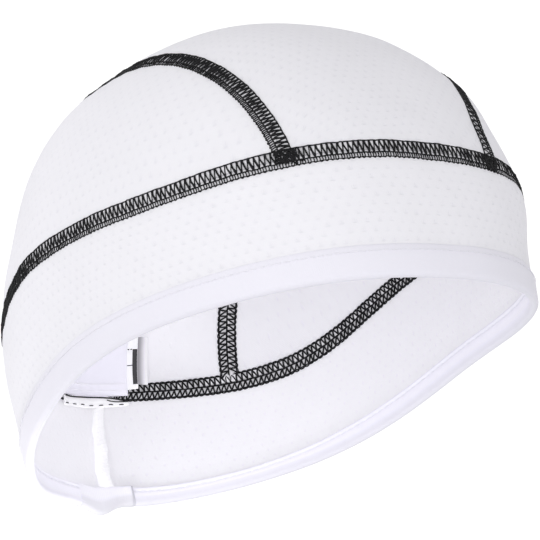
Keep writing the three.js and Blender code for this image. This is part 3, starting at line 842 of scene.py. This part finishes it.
def binding_section(grow=0.0):
    mid = -CLOTH / 2
    half = CLOTH / 2 + GAP + BINDING_CLOTH + grow
    slot = CLOTH / 2 + GAP + grow
    pts = []
    # outside, from the top lip down
    pts += [(BINDING_HEIGHT + 0.6, mid + CLOTH / 2 + 0.03), (BINDING_HEIGHT + 0.45, mid + half - 0.78), (BINDING_HEIGHT - 0.3, mid + half - 0.48), (BINDING_HEIGHT - 1.4, mid + half - 0.2), (BINDING_HEIGHT - 2.4, mid + half - 0.06)]
    for h in (BINDING_HEIGHT - 3.2, 6.0, 4.4, 3.0):
        pts.append((h, mid + half))
    for k in range(9):
        a = k / 8 * math.pi
        pts.append((half - half * math.sin(a) - grow, mid + half * math.cos(a)))
    for h, sag in ((3.0, 0.0), (4.4, 0.0), (6.0, 0.0), (BINDING_INSIDE - 1.9, 0.0), (BINDING_INSIDE - 1.35, 0.3), (BINDING_INSIDE - 0.8, 0.0)):
        pts.append((h, mid - half + sag))
    pts += [(BINDING_INSIDE - 0.25, mid - half - 0.12), (BINDING_INSIDE + 0.15, mid - half + 0.15), (BINDING_INSIDE + 0.4, mid - half + 0.6), (BINDING_INSIDE + 0.35, mid - CLOTH / 2 - 0.05)]
    foot = BAND_FOOT - GAP - grow
    pts += [(foot, mid - slot), (foot, mid + slot)]
    return np.array(pts)


def sweep_ring(name, turns, section, mats, nodes, split):
    K = len(section)
    T, _ = np.meshgrid(turns, np.arange(K), indexing="ij")
    H = np.broadcast_to(section[:, 0], T.shape)
    H = np.where(np.arange(K)[None] >= split, inside_level(T, H), H)
    Lf = np.broadcast_to(section[:, 1], T.shape)
    P = rim_layer(T, H, Lf)
    n = len(turns)
    verts = P.reshape(-1, 3)
    i = np.arange(n - 1)[:, None]
    j = np.arange(K)[None]
    j2 = (j + 1) % K
    f = np.stack([i * K + j, (i + 1) * K + j, (i + 1) * K + j2, i * K + j2], -1).reshape(-1, 4)
    along = (turns - turns[0]) * 92
    step = np.concatenate([[0], np.cumsum(np.linalg.norm(np.diff(section, axis=0), axis=1))])
    uv = np.stack(np.broadcast_arrays(along[:, None], step[None]), -1)
    faces = [tuple(q) for q in f]
    faces.append(tuple(range(K)))
    faces.append(tuple(range((n - 1) * K, n * K))[::-1])
    inner = np.broadcast_to((j >= split) & (j < K - 2), (n - 1, K)).reshape(-1)
    ob = new_object(name, verts, faces, mats, np.concatenate([inner, [False, False]]), uv=uv, sharp=50)
    fix_normals(ob)
    return finish_piece(ob, nodes)


binding = sweep_ring("binding_elastic_fold", round_turn(np.linspace(0, 1, 481), GAP), binding_section(), [ELASTIC, ELASTIC_IN], "binding", 13)


JOIN_TURNS = np.concatenate([np.linspace(174.8, 181.2, 26), np.linspace(181.6, 187.0, 14)]) * DEG


def join_point(turn, h, side, extra):
    """side 1 outside, -1 inside; the lap lies on the binding and thins out to its left."""
    d = turn / DEG
    thin = np.clip((187.0 - d) / 7.0, 0, 1) ** 1.2
    mid = -CLOTH / 2
    half = CLOTH / 2 + GAP + BINDING_CLOTH
    up = np.clip(h / BINDING_INSIDE, 0, 1)
    end = np.exp(-(((d - 174.8) / 1.6) ** 2))
    off = half + 0.03 + ((0.16 + 0.42 * up) * thin + 0.75 * end) * extra
    return rim_layer(turn, inside_level(turn, h) if side < 0 else h, mid + side * off)


def join_mesh():
    inner, outer = [], []
    half = CLOTH / 2 + GAP + BINDING_CLOTH
    rows = []
    for h, side in [(9.1, 1), (8.6, 1), (7.6, 1), (6.0, 1), (4.4, 1), (3.0, 1)]:
        rows.append(("side", h, side))
    for k in range(1, 10):
        rows.append(("fold", k / 10 * math.pi, 0))
    for h, side in [(3.0, -1), (4.4, -1), (6.0, -1), (7.2, -1), (8.1, -1), (8.8, -1), (9.25, -1), (9.4, -1)]:
        rows.append(("side", h, side))
    turns = JOIN_TURNS
    thin = np.clip((187.0 - turns / DEG) / 7.0, 0, 1) ** 1.2
    for extra, store in ((1.0, outer), (0.0, inner)):
        for kind, a, side in rows:
            at = turns.copy()
            if not extra:
                at[0] -= 0.75 * DEG
            if kind == "side":
                e = extra * (0.25 if a > 9.3 else 0.75 if a > 9.2 else 1.0)
                store.append(join_point(at, np.full_like(at, a), side, e))
            else:
                off = half + 0.03 + (0.16 * thin + 0.3 * abs(math.cos(a)) * np.exp(-(((at / DEG - 174.8) / 1.6) ** 2))) * extra
                h = half - off * math.sin(a)
                store.append(rim_layer(at, h, -CLOTH / 2 + off * math.cos(a)))
    ring = np.stack(outer + inner[::-1], 1)
    n, K, _ = ring.shape
    i = np.arange(n - 1)[:, None]
    j = np.arange(K)[None]
    j2 = (j + 1) % K
    f = np.stack([i * K + j, (i + 1) * K + j, (i + 1) * K + j2, i * K + j2], -1).reshape(-1, 4)
    m = len(rows)
    faces = [tuple(q) for q in f]
    for base in (0, (n - 1) * K):
        for k in range(m - 1):
            faces.append((base + k, base + k + 1, base + K - 2 - k, base + K - 1 - k))
    uv = np.stack(np.broadcast_arrays(((turns - turns[0]) * 92)[:, None], (np.arange(K) * 0.8)[None]), -1)
    which = np.zeros(len(faces), int)
    # the end cap at the lap's end at 174.8 degrees takes the dark crease material: painted shade
    which[len(f):len(f) + m - 1] = 1
    ob = new_object("binding_lap", ring.reshape(-1, 3), faces, [ELASTIC_LAP, CREASE_SHADE], which, uv=uv, sharp=60)
    fix_normals(ob)
    return finish_piece(ob, "binding_join")


join = join_mesh()


# ---------------------------------------------------------------- flatlock seams
class SeamPath:
    """Maps along, across (mm) and lift (mm) to the worn frame, with the outward direction there."""

    def __init__(self, length, mapper):
        self.length, self.mapper = length, mapper

    def __call__(self, t, w, lift):
        t, w, lift = np.broadcast_arrays(np.asarray(t, float), np.asarray(w, float), np.asarray(lift, float))
        P = self.mapper(t, w, lift)
        Q = self.mapper(t, w, lift + 1.0)
        n = Q - P
        return P, n / np.linalg.norm(n, axis=-1, keepdims=True)


_turns = np.linspace(0, 2 * math.pi, 2401)
_len = np.concatenate([[0], np.cumsum(np.linalg.norm(np.diff(cloth_point(BACK + _turns, 0.0), axis=0), axis=1))])
BAND_SEAM_LEN = float(_len[-1])


def band_seam_map(t, w, lift):
    turn = BACK + np.interp(np.mod(t, BAND_SEAM_LEN), _len, _turns)
    return band_layer(turn, w, lift)


def crown_seam_table(side):
    y = np.linspace(seam_end(side, -1, 0), seam_end(side, 1, 0), 1600)
    x = strip_edge(y, side)
    turn, disc = disc_of(x, y)
    p = crown_point(turn, np.minimum(disc, 1.0))
    return x, y, np.concatenate([[0], np.cumsum(np.linalg.norm(np.diff(p, axis=0), axis=1))])


def crown_seam_path(side):
    x, y, length = crown_seam_table(side)

    def at(px, py):
        turn, disc = disc_of(px, py)
        return crown_point(turn, disc)

    step = 0.4
    sx = (at(x + step, y) - at(x - step, y)) / (2 * step)
    sy = (at(x, y + step) - at(x, y - step)) / (2 * step)
    slope = (strip_edge(y + step, side) - strip_edge(y - step, side)) / (2 * step)
    along = sy + sx * slope[:, None]
    a = (sy * along).sum(-1)
    b = -(sx * along).sum(-1)
    size = np.linalg.norm(sx * a[:, None] + sy * b[:, None], axis=-1) * np.sign(a)
    a, b = a / size, b / size

    def mapper(t, w, lift):
        xx, yy = np.interp(t, length, x), np.interp(t, length, y)
        return crown_layer_xy(xx + w * np.interp(t, length, a), yy + w * np.interp(t, length, b), lift)

    return SeamPath(float(length[-1]), mapper)


BAND_SEAM = SeamPath(BAND_SEAM_LEN, band_seam_map)
CROWN_RIGHT = crown_seam_path(-1)
CROWN_LEFT = crown_seam_path(1)


def strand(th, seam, controls, radius, k=7):
    """controls: list of (t, w, lift) arrays, one thread for each entry of the arrays."""
    pts, ups = [], []
    c = [np.broadcast_arrays(*[np.asarray(a, float) for a in row]) for row in controls]
    for t, w, lift in c:
        P, n = seam(t, w, lift)
        pts.append(P)
        ups.append(n)
    P = np.stack(pts, 1)
    U = np.stack(ups, 1)
    path = smooth_path(P, k)
    up = smooth_path(U, k)
    th.add(path, up, radius)


def line_thread(th, seam, t0, t1, w, lift, radius, wiggle=0.06, step=0.9, seed=1, bow=None):
    n = max(8, int((t1 - t0) / step))
    t = np.linspace(t0, t1, n)
    rng = np.random.default_rng(seed)
    ww = w + wiggle * rng.standard_normal(n)
    if bow is not None:
        ww = ww + bow(t)
    P, up = seam(t, ww, lift + 0.06 * rng.standard_normal(n))
    th.add(P[None], up[None], radius)


def outside_flatlock(th, seam, t0, t1, pitch, top, seed, flip=1, fine=1.0, thin=None):
    """Ladder of slanting rungs between an upper edge and an inner line, short rungs and loops below.
    top is the across position of the straight upper edge; the looped edge is on the other side."""
    rng = np.random.default_rng(seed)
    n = int((t1 - t0) / pitch)
    t = t0 + (np.arange(n) + 0.5) * pitch + rng.uniform(-0.16, 0.16, n)
    mid = top - flip * 4.2
    low = top - flip * 5.9
    if thin is not None:
        fine = fine * thin(t)
    j = lambda s: rng.uniform(-s, s, n)
    h = 0.12
    # heavy rungs
    strand(th, seam, [
        (t + j(0.14), top + 0 * t, h), (t + 0.14 * pitch + j(0.12), top - flip * 1.4 + j(0.15), h + 0.14),
        (t + 0.40 * pitch + j(0.16), top - flip * 3.0, h + 0.12), (t + 0.56 * pitch + j(0.14), mid + 0 * t, h)], fine * (0.00034 + 0.00004 * rng.standard_normal(n)))
    # a second strand twisted with each rung, a little aside
    strand(th, seam, [
        (t + 0.30 + j(0.14), top + 0 * t, h), (t + 0.02 * pitch + 0.22 + j(0.12), top - flip * 1.6, h + 0.08),
        (t + 0.52 * pitch + j(0.2), top - flip * 3.1, h + 0.2), (t + 0.46 * pitch + j(0.1), mid + 0 * t, h + 0.06)], fine * (0.00025 + 0.00004 * rng.standard_normal(n)))
    # strands going back up
    strand(th, seam, [
        (t + 0.60 * pitch, mid + 0 * t, h), (t + 0.76 * pitch + j(0.14), top - flip * 2.4 + j(0.2), h + 0.06),
        (t + 0.97 * pitch + j(0.14), top + 0 * t, h)], fine * (0.00022 + 0.00003 * rng.standard_normal(n)))
    # short rungs below the inner line, two to a stitch
    for off in (0.12, 0.62):
        strand(th, seam, [
            (t + off * pitch + j(0.08), mid + 0 * t, h + 0.02), (t + (off + 0.03) * pitch, mid - flip * 0.9 + j(0.08), h + 0.12),
            (t + (off - 0.05) * pitch + j(0.08), low - flip * 0.05 + j(0.06), h)], fine * np.full(n, 0.00021))
    # loops on the lower edge
    strand(th, seam, [
        (t + 0.07 * pitch, low + flip * 0.15 + 0 * t, h), (t + 0.2 * pitch, low - flip * 0.14 + j(0.08), h - 0.03),
        (t + 0.42 * pitch, low - flip * 0.14 + j(0.08), h - 0.03), (t + 0.57 * pitch, low + flip * 0.15 + 0 * t, h)], 0.00018, k=6)
    line_thread(th, seam, t0, t1, top, h, 0.00023, seed=seed + 1)
    line_thread(th, seam, t0, t1, mid, h + 0.1, 0.00023, seed=seed + 2)
    line_thread(th, seam, t0, t1, low + flip * 0.1, h, 0.00018, seed=seed + 3)


def inside_flatlock(th, seam, t0, t1, pitch, seed, skip=None, wide=2.65):
    """Lattice of triangles in two columns, with three lines and scalloped edges."""
    rng = np.random.default_rng(seed)
    n = int((t1 - t0) / pitch)
    t = t0 + (np.arange(n) + 0.5) * pitch + rng.uniform(-0.1, 0.1, n)
    if skip is not None:
        t = t[~((t > skip[0]) & (t < skip[1]))]
        n = len(t)
    j = lambda s: rng.uniform(-s, s, n)
    h = -CLOTH - 0.15
    up = -0.15
    e = wide
    for sgn in (1, -1):
        o = 0.0 if sgn > 0 else 0.5 * pitch
        strand(th, seam, [
            (t + o + j(0.12), sgn * e + 0 * t, h), (t + o + 0.08 * pitch, sgn * e * 0.5 + j(0.12), h + up), (t + o + 0.10 * pitch + j(0.12), 0 * t, h)], 0.0003)
        strand(th, seam, [
            (t + o + 0.10 * pitch, 0 * t, h), (t + o + 0.55 * pitch + j(0.14), sgn * e * 0.52 + 0 * t, h + up * 1.2), (t + o + 1.0 * pitch + j(0.12), sgn * e + 0 * t, h)], 0.0003)
        strand(th, seam, [
            (t + o, sgn * (e - 0.1) + 0 * t, h), (t + o + 0.3 * pitch, sgn * (e + 0.24) + j(0.06), h), (t + o + 0.7 * pitch, sgn * (e + 0.24) + j(0.06), h), (t + o + pitch, sgn * (e - 0.1) + 0 * t, h)], 0.00025, k=6)
    spans = [(t0, t1)] if skip is None else [(t0, skip[0]), (skip[1], t1)]
    for a, b in spans:
        if b - a > 3:
            line_thread(th, seam, a, b, 0.0, h - 0.08, 0.0003, seed=seed + 1)
            line_thread(th, seam, a, b, -e + 0.2, h - 0.04, 0.00024, seed=seed + 2)
            line_thread(th, seam, a, b, e - 0.15, h - 0.04, 0.00022, seed=seed + 3)


def knot(th, seam, t, w, spread_t, spread_w, count, lift, seed):
    """A dense tangle of short threads where two seams cross."""
    rng = np.random.default_rng(seed)
    a = rng.uniform(-1, 1, (count, 2)) * (spread_t, spread_w)
    ang = rng.uniform(0, math.pi, count)
    ln = rng.uniform(0.6, 1.5, count)
    dt, dw = np.cos(ang) * ln, np.sin(ang) * ln
    bend = rng.uniform(-0.5, 0.5, count)
    hh = lift * (1 + rng.uniform(-0.25, 0.45, count))
    strand(th, seam, [
        (t + a[:, 0] - dt, w + a[:, 1] - dw, hh), (t + a[:, 0] + bend * dw * 0.5, w + a[:, 1] - bend * dt * 0.5, hh * 1.18),
        (t + a[:, 0] + dt, w + a[:, 1] + dw, hh)], 0.00023)


def nearest_on_band(seam_path, t_end):
    """Where along the band seam a crown seam ends."""
    P, _ = seam_path(np.array([t_end]), np.array([0.0]), np.array([0.0]))
    tt = np.linspace(0, BAND_SEAM_LEN, 3000)
    Q, _ = BAND_SEAM(tt, 0 * tt, 0 * tt)
    return float(tt[np.argmin(np.linalg.norm(Q - P, axis=1))])


ENDS = {
    "right_front": nearest_on_band(CROWN_RIGHT, 0.0),
    "right_back": nearest_on_band(CROWN_RIGHT, CROWN_RIGHT.length),
    "left_front": nearest_on_band(CROWN_LEFT, 0.0),
    "left_back": nearest_on_band(CROWN_LEFT, CROWN_LEFT.length),
}

KNOT_ASIDE = (1.3, 0.0, -1.0, 0.0)
th = Threads("band_flatlock_outside", BLACK)
outside_flatlock(th, BAND_SEAM, 0.0, BAND_SEAM_LEN, 1.86, 3.0, 11, fine=0.92,
                 thin=lambda t: (1 - 0.5 * np.clip((t - ENDS["left_front"]) / 4, 0, 1) * np.clip((ENDS["left_front"] + 80 - t) / 20, 0, 1))
                 * (1 - 0.5 * np.exp(-(((t - 62) / 30) ** 2))))
for i, e in enumerate(ENDS.values()):
    knot(th, BAND_SEAM, e + KNOT_ASIDE[i], 0.2, 4.3, 2.2, 40 if i < 2 else 32, 0.24, 40 + i)
finish_piece(th.build(), "band_seam_outside")

th = Threads("band_flatlock_inside", BLACK)
inside_flatlock(th, BAND_SEAM, 0.0, BAND_SEAM_LEN, 1.96, 21)
finish_piece(th.build(), "band_seam_inside")

for seam, word, flip, top in ((CROWN_RIGHT, "right", 1, 3.0), (CROWN_LEFT, "left", -1, -3.0)):
    th = Threads(f"crown_{word}_flatlock_outside", BLACK)
    outside_flatlock(th, seam, 0.6, seam.length - 0.6, 1.5 if word == "right" else 2.1, top, 31 + flip, flip, fine=1.0 if word == "right" else 0.74,
                     thin=(lambda t: 1 - 0.5 * np.clip((t - 50) / 35, 0, 1)) if word == "right" else None)
    finish_piece(th.build(), f"crown_seam_{word}_outside")
    th = Threads(f"crown_{word}_flatlock_inside", BLACK)
    inside_flatlock(th, seam, 3.2, seam.length - 3.2, 1.96, 35 + flip, wide=2.95)
    finish_piece(th.build(), f"crown_seam_{word}_inside")


# ---------------------------------------------------------------- coverstitch on the binding
def rim_path(height, lift, inside=False):
    t = np.linspace(0, 2 * math.pi, 1801)
    P = band_point(BACK + t, height / band_length(BACK + t))
    length = np.concatenate([[0], np.cumsum(np.linalg.norm(np.diff(P, axis=0), axis=1))])

    def mapper(a, w, extra):
        turn = BACK + np.interp(np.mod(a, length[-1]), length, t)
        return rim_layer(turn, inside_level(turn, height + w) if inside else height + w, lift + extra)

    return SeamPath(float(length[-1]), mapper)


RIM_OUT = rim_path(BINDING_HEIGHT - 1.7, -CLOTH / 2 + CLOTH / 2 + GAP + BINDING_CLOTH)
RIM_IN = rim_path(BINDING_INSIDE - 1.35, -CLOTH - GAP - BINDING_CLOTH + 0.2, inside=True)


def dashes(th, seam, pitch, length, lift, radius, seed, t0=0.0, t1=None):
    rng = np.random.default_rng(seed)
    t1 = seam.length if t1 is None else t1
    n = int((t1 - t0) / pitch)
    t = t0 + (np.arange(n) + 0.3) * pitch + rng.uniform(-0.08, 0.08, n)
    strand(th, seam, [
        (t, 0 * t, -lift * 0.6), (t + length * 0.3, 0 * t, lift), (t + length * 0.7, 0 * t, lift), (t + length, 0 * t, -lift * 0.6)], radius, k=6)


th = Threads("binding_stitches", PALE)
dashes(th, RIM_OUT, 2.7, 1.8, 0.05, 0.00013, 71)
dashes(th, RIM_IN, 2.7, 1.8, -0.06, 0.00014, 72)
finish_piece(th.build(), None)

# ---------------------------------------------------------------- centre back: ridge, tape, labels
TRIMS = {
    "seam_tape": dict(start=173.0, end=189.5, low=-4.6, high=-1.6, lift=1.35, thick=1.0, lean=0.0),
    "main_label": dict(start=172.8, end=193.4, low=-1.2, high=24.0, lift=1.35, thick=0.5, lean=0.0614),
    "care_label": dict(start=170.2, end=172.4, low=-0.5, high=26.0, lift=1.35, thick=1.6, lean=0.0614),
}


def ridge_mesh():
    length = float(band_length(np.array(BACK)))
    low, high = -(length - float(inside_height(BACK)) - 0.4), TRIMS["seam_tape"]["low"] - 0.1
    n, K = 90, 17
    s = np.linspace(low, high, n)[:, None]
    a = np.linspace(0, math.pi, K)[None]

    def side(s, a, grow):
        """Millimetres aside and inwards of a soft, slightly wavy ridge."""
        foot = np.clip((-s - 6) / 26, 0, 1)
        way = 0.22 * np.sin(s * 0.42 + 0.5) + 0.75 * foot
        width = 2.1 + 0.75 * foot + 0.15 * np.sin(s * 0.9 + 1.0) + grow
        tall = 1.75 + 0.18 * np.sin(s * 0.6 + 0.7) + grow
        return way + width * np.cos(a), -CLOTH - 0.1 - tall * np.sin(a) ** 0.9

    off, lift = side(s, a, 0.0)
    P = band_layer(leaning(BACK, s) + off / 100, np.broadcast_to(s, off.shape), lift)
    idx = np.arange(n * K).reshape(n, K)
    f = np.stack([idx[:-1, :-1], idx[1:, :-1], idx[1:, 1:], idx[:-1, 1:]], -1).reshape(-1, 4)
    faces = [tuple(q) for q in f]
    faces += [(idx[i, 0], idx[i, K - 1], idx[i + 1, K - 1], idx[i + 1, 0]) for i in range(n - 1)]
    faces += [tuple(idx[0]), tuple(idx[-1][::-1])]
    uv = np.stack(np.broadcast_arrays(off, s), -1)
    ob = new_object("back_seam_ridge", P.reshape(-1, 3), faces, [RIDGE], uv=uv, sharp=60)
    fix_normals(ob)
    th = Threads("back_seam_overlock", WHITE)
    k = 11
    t = np.arange(low + 0.7, high - 0.7, 1.5)
    ang = np.linspace(0.1, math.pi - 0.1, k)[None]
    st = t[:, None] + 1.3 * (ang / math.pi - 0.5)
    off, lift = side(st, ang, 0.02)
    P = band_layer(leaning(BACK, st) + off / 100, st, lift)
    Q = band_layer(leaning(BACK, st) + off / 100, st, lift - 1.0)
    th.add(P, Q - P, 0.00010)
    over = th.build()
    return ob, over


ridge, overlock = ridge_mesh()
finish_piece(ridge, "back_seam")
finish_piece(overlock, None)


def trim_shell(name, t, mats, nu, nv, node, wave_fn=None, shape_fn=None):
    outer = -CLOTH - t["lift"]

    def point(u, v, lift):
        s = t["low"] + (t["high"] - t["low"]) * v
        turn = (t["start"] + (t["end"] - t["start"]) * u - t["lean"] * s) * DEG
        if shape_fn is not None:
            turn, s = shape_fn(turn, s, u, v)
        if wave_fn is not None:
            lift = lift + wave_fn(u, v)
        return band_layer(turn, s, lift)

    def uv(u, v):
        return np.stack([(t["end"] - t["start"]) * u * 1.75, (t["high"] - t["low"]) * v], -1)

    ob = shell(name, nu, nv, point, outer, outer - t["thick"], uv, mats, round_edge=t["thick"] * 0.4)
    finish_piece(ob, node)
    return ob, point


def tape_shape(turn, s, u, v):
    # the end towards the wearer's left tapers, the lower edge bellies a little
    mid = -3.3
    narrow = 1 - 0.55 * np.exp(-((u / 0.16) ** 2))
    belly = -0.5 * np.exp(-(((u - 0.55) / 0.3) ** 2)) * (1 - v)
    low_end = -0.9 * np.exp(-((u / 0.22) ** 2))
    return turn, mid + (s - mid) * narrow + belly + low_end - 0.5 * u**2


tape, tape_point = trim_shell("seam_tape_fold", TRIMS["seam_tape"], [TAPE, TAPE], 48, 10, "seam_tape",
                              wave_fn=lambda u, v: -0.2 * np.sin(math.pi * v) ** 2 - 0.08 * np.sin(u * 19), shape_fn=tape_shape)
main_label, label_point = trim_shell("main_label_satin", TRIMS["main_label"], [SATIN, SATIN], 48, 32, "main_label",
                                     wave_fn=lambda u, v: -0.4 * np.sin(u * 7.0 + 0.6) * v - 0.3 * np.exp(-(((u - 0.05) / 0.05) ** 2)) * v - 0.3 * v**2)


def care_mesh():
    """A folded strip standing off the lining, its printed half turned to the side."""
    t = TRIMS["care_label"]

    def front(u, v, lift):
        s = t["low"] + 1.2 + (t["high"] - t["low"] - 1.2) * v
        # u 0 at the far edge, which stands off the lining, 1 beside the main label
        turn = (t["end"] + 0.25 - 2.0 * (1 - u) - t["lean"] * s) * DEG
        bow = -2.1 * (1 - u) - 0.5 * u - 0.25 * np.sin(math.pi * np.clip(u, 0, 1))
        return band_layer(turn, s, lift + bow + 0.3)

    return front


care_front = care_mesh()


def care_uv(u, v):
    return np.stack([u * 4.5, v * 24.0], -1)


outer = -CLOTH - TRIMS["care_label"]["lift"]
care = shell("care_label_strip", 20, 60, care_front, outer, outer - 0.35, care_uv, [CARE, CARE], round_edge=0.15)
finish_piece(care, "care_label")


def mark(name, point, u0, u1, v0, v1, lift, nu=6, nv=6, mat=None):
    def p(u, v, l):
        return point(u0 + (u1 - u0) * u, v0 + (v1 - v0) * v, l)

    ob = shell(name, nu, nv, p, lift, lift - 0.05, lambda u, v: np.stack([u * 2, v * 2], -1), [mat or INK, mat or INK], round_edge=0.02)
    finish_piece(ob, None)
    return ob


# generic printed marks on the care label: a dark bar, a rule and two dashes
S0 = outer - 0.36
mark("care_bar", care_front, 0.03, 0.50, 0.060, 0.731, S0, 8, 40)
mark("care_rule", care_front, 0.50, 0.98, 0.385, 0.402, S0, 8, 2)
mark("care_dash_a", care_front, 0.56, 0.72, 0.716, 0.742, S0, 4, 2)
mark("care_dash_b", care_front, 0.82, 0.96, 0.716, 0.742, S0, 4, 2)


def back_ply(u, v, lift):
    """The strip's second ply: from its free edge, curving back to the lining; its material paints the strip's shadow
    on it.
    """
    t = TRIMS["care_label"]
    s = 2.2 + (t["high"] - 2.2) * v
    turn = (t["end"] - 1.75 - 2.6 * u - t["lean"] * s) * DEG
    out = -2.0 * (1 - u) ** 1.6 - 0.15
    return band_layer(turn, s, lift + out + 0.3)


ply = shell("care_label_back_ply", 16, 40, back_ply, outer, outer - 0.3, care_uv, [PLY_SHADOW, PLY_SHADOW], round_edge=0.1)
finish_piece(ply, None)

# black thread on the tape: one line along its upper edge, dashes along the lower
th = Threads("tape_stitches", BLACK)
u = np.linspace(0.0, 1.0, 40)
rng = np.random.default_rng(5)
tape_in = -CLOTH - TRIMS["seam_tape"]["lift"] - TRIMS["seam_tape"]["thick"]


def on_tape(u, v, lift):
    P = tape_point(u, v, tape_in + lift)
    Q = tape_point(u, v, tape_in + lift - 1.0)
    n = Q - P
    return P, n / np.linalg.norm(n, axis=-1, keepdims=True)


P, up = on_tape(u, 0.93 + 0.03 * np.sin(u * 14), -0.1 - 0.1 * rng.random(40))
th.add(P[None], up[None], 0.00027)
P, up = on_tape(np.linspace(0.0, 0.30, 16), 0.86 - 0.7 * np.sin(np.linspace(0, math.pi * 0.8, 16)) * 0.5, np.full(16, -0.15))
th.add(P[None], up[None], 0.00018)
for k, c in enumerate(np.arange(0.10, 0.97, 0.143)):
    uu = np.linspace(c - 0.029, c + 0.029, 7)
    P, up = on_tape(uu, 0.13 + 0.04 * math.sin(k * 2.0) + 0 * uu, np.array([0.12, -0.06, -0.1, -0.1, -0.1, -0.06, 0.12]))
    th.add(P[None], up[None], 0.00019)
finish_piece(th.build(), None)
# thread bundle at the ridge's head
th = Threads("ridge_thread_bundle", BLACK)
RIDGE_HEAD = SeamPath(30.0, lambda t, w, lift: band_layer(BACK + t / 100, TRIMS["seam_tape"]["low"] - 0.4 + w, lift))
rb = np.random.default_rng(91)
tb = rb.uniform(1.3, 4.0, 9)
strand(th, RIDGE_HEAD, [
    (tb - 0.5, rb.uniform(-0.1, 0.25, 9), -CLOTH - 1.1), (tb, rb.uniform(-0.4, 0.1, 9), -CLOTH - 1.4), (tb + 0.5, rb.uniform(-0.1, 0.25, 9), -CLOTH - 1.1)], 0.00022)
finish_piece(th.build(), None)
# zigzag sewing the main label down
th = Threads("label_zigzag", WHITE)
zu = np.linspace(0.03, 0.97, 61)
zv = 0.15 + 0.025 * (np.arange(61) % 2)
lab_in = -CLOTH - TRIMS["main_label"]["lift"] - TRIMS["main_label"]["thick"]
P = label_point(zu, zv, lab_in - 0.06)
Q = label_point(zu, zv, lab_in - 1.06)
th.add(P[None], (Q - P)[None], 0.00015)
# its turned-under lower edge
zu = np.linspace(0.02, 0.98, 40)
P = label_point(zu, 0.07 + 0 * zu, lab_in - 0.02)
Q = label_point(zu, 0.07 + 0 * zu, lab_in - 1.02)
th.add(P[None], (Q - P)[None], 0.00012)
finish_piece(th.build(), None)

# ---------------------------------------------------------------- floor, light, camera
floor_mat, nt, bsdf = material("floor_pale")
bsdf.inputs["Base Color"].default_value = (0.91, 0.91, 0.92, 1)
bsdf.inputs["Roughness"].default_value = 0.9
floor = new_object("floor", [(-6, -6, -0.62), (6, -6, -0.62), (6, 6, -0.62), (-6, 6, -0.62)], [(0, 1, 2, 3)], floor_mat, smooth=False)

world = bpy.data.worlds.new("studio")
bpy.context.scene.world = world
world.use_nodes = True
wn = N(world.node_tree)
bg = next(n for n in world.node_tree.nodes if n.type == "BACKGROUND")
tc = wn.new("ShaderNodeTexCoord")
unit = wn.new("ShaderNodeVectorMath", operation="NORMALIZE")
wn.link(tc.outputs["Generated"], unit.inputs[0])
flow = wn.new("ShaderNodeSeparateXYZ")
wn.link(unit.outputs[0], flow.inputs[0])
aim = wn.new("ShaderNodeVectorMath", operation="DOT_PRODUCT")
wn.link(unit.outputs[0], aim.inputs[0])
aim.inputs[1].default_value = (0.584, 0.810, 0.049)
side = wn.new("ShaderNodeVectorMath", operation="DOT_PRODUCT")
wn.link(unit.outputs[0], side.inputs[0])
side.inputs[1].default_value = (-0.811, 0.585, 0.0)
top_light = wn.ramp(flow.outputs[2], 0.0, 0.8, 0.93, 0.73)
left_light = wn.math("MULTIPLY", side.outputs["Value"], 0.22)
backdrop = wn.ramp(aim.outputs["Value"], 0.93, 0.985, 0.0, 0.22)
strength = wn.math("ADD", wn.math("ADD", top_light, left_light), backdrop)
bg.inputs["Color"].default_value = (1.0, 1.0, 1.0, 1)
wn.link(strength, bg.inputs["Strength"])


def area(name, loc, target, size, power, color=(1, 1, 1)):
    d = bpy.data.lights.new(name, "AREA")
    d.shape = "DISK"
    d.size = size
    d.energy = power
    d.color = color
    o = bpy.data.objects.new(name, d)
    bpy.context.scene.collection.objects.link(o)
    o.location = loc
    o.rotation_euler = (Vector(target) - Vector(loc)).to_track_quat("-Z", "Y").to_euler()
    o.visible_camera = False
    return o


area("key_low_right", (-1.5, -0.9, -0.3), (0, 0, -0.08), 0.9, 6.5)
area("fill_front", (0.3, -1.6, 0.0), (0, 0, -0.08), 1.2, 3.25)
area("low_inside", (-0.066, 0.05, -0.215), (0.0, 0.11, -0.13), 0.015, 0.036)

CAM_POS = Vector((-1.160089, -1.599223, -0.178185))
CAM_RIGHT = Vector((0.811172, -0.584808, -0.000457))
CAM_UP = Vector((-0.02852, -0.04034, 0.998779))
CAM_BACK = Vector((-0.584112, -0.810168, -0.049401))
cam_data = bpy.data.cameras.new("camera")
cam = bpy.data.objects.new("camera", cam_data)
bpy.context.scene.collection.objects.link(cam)
m = Matrix.Identity(4)
for i in range(3):
    m[i][0], m[i][1], m[i][2], m[i][3] = CAM_RIGHT[i], CAM_UP[i], CAM_BACK[i], CAM_POS[i]
cam.matrix_world = m
cam_data.sensor_width = 36.0
cam_data.sensor_fit = "HORIZONTAL"
cam_data.lens = 398.08
cam_data.clip_start = 0.05
cam_data.clip_end = 50.0
cam_data.dof.use_dof = False
bpy.context.scene.camera = cam
bpy.context.scene.view_settings.view_transform = "Standard"
bpy.context.scene.view_settings.look = "None"
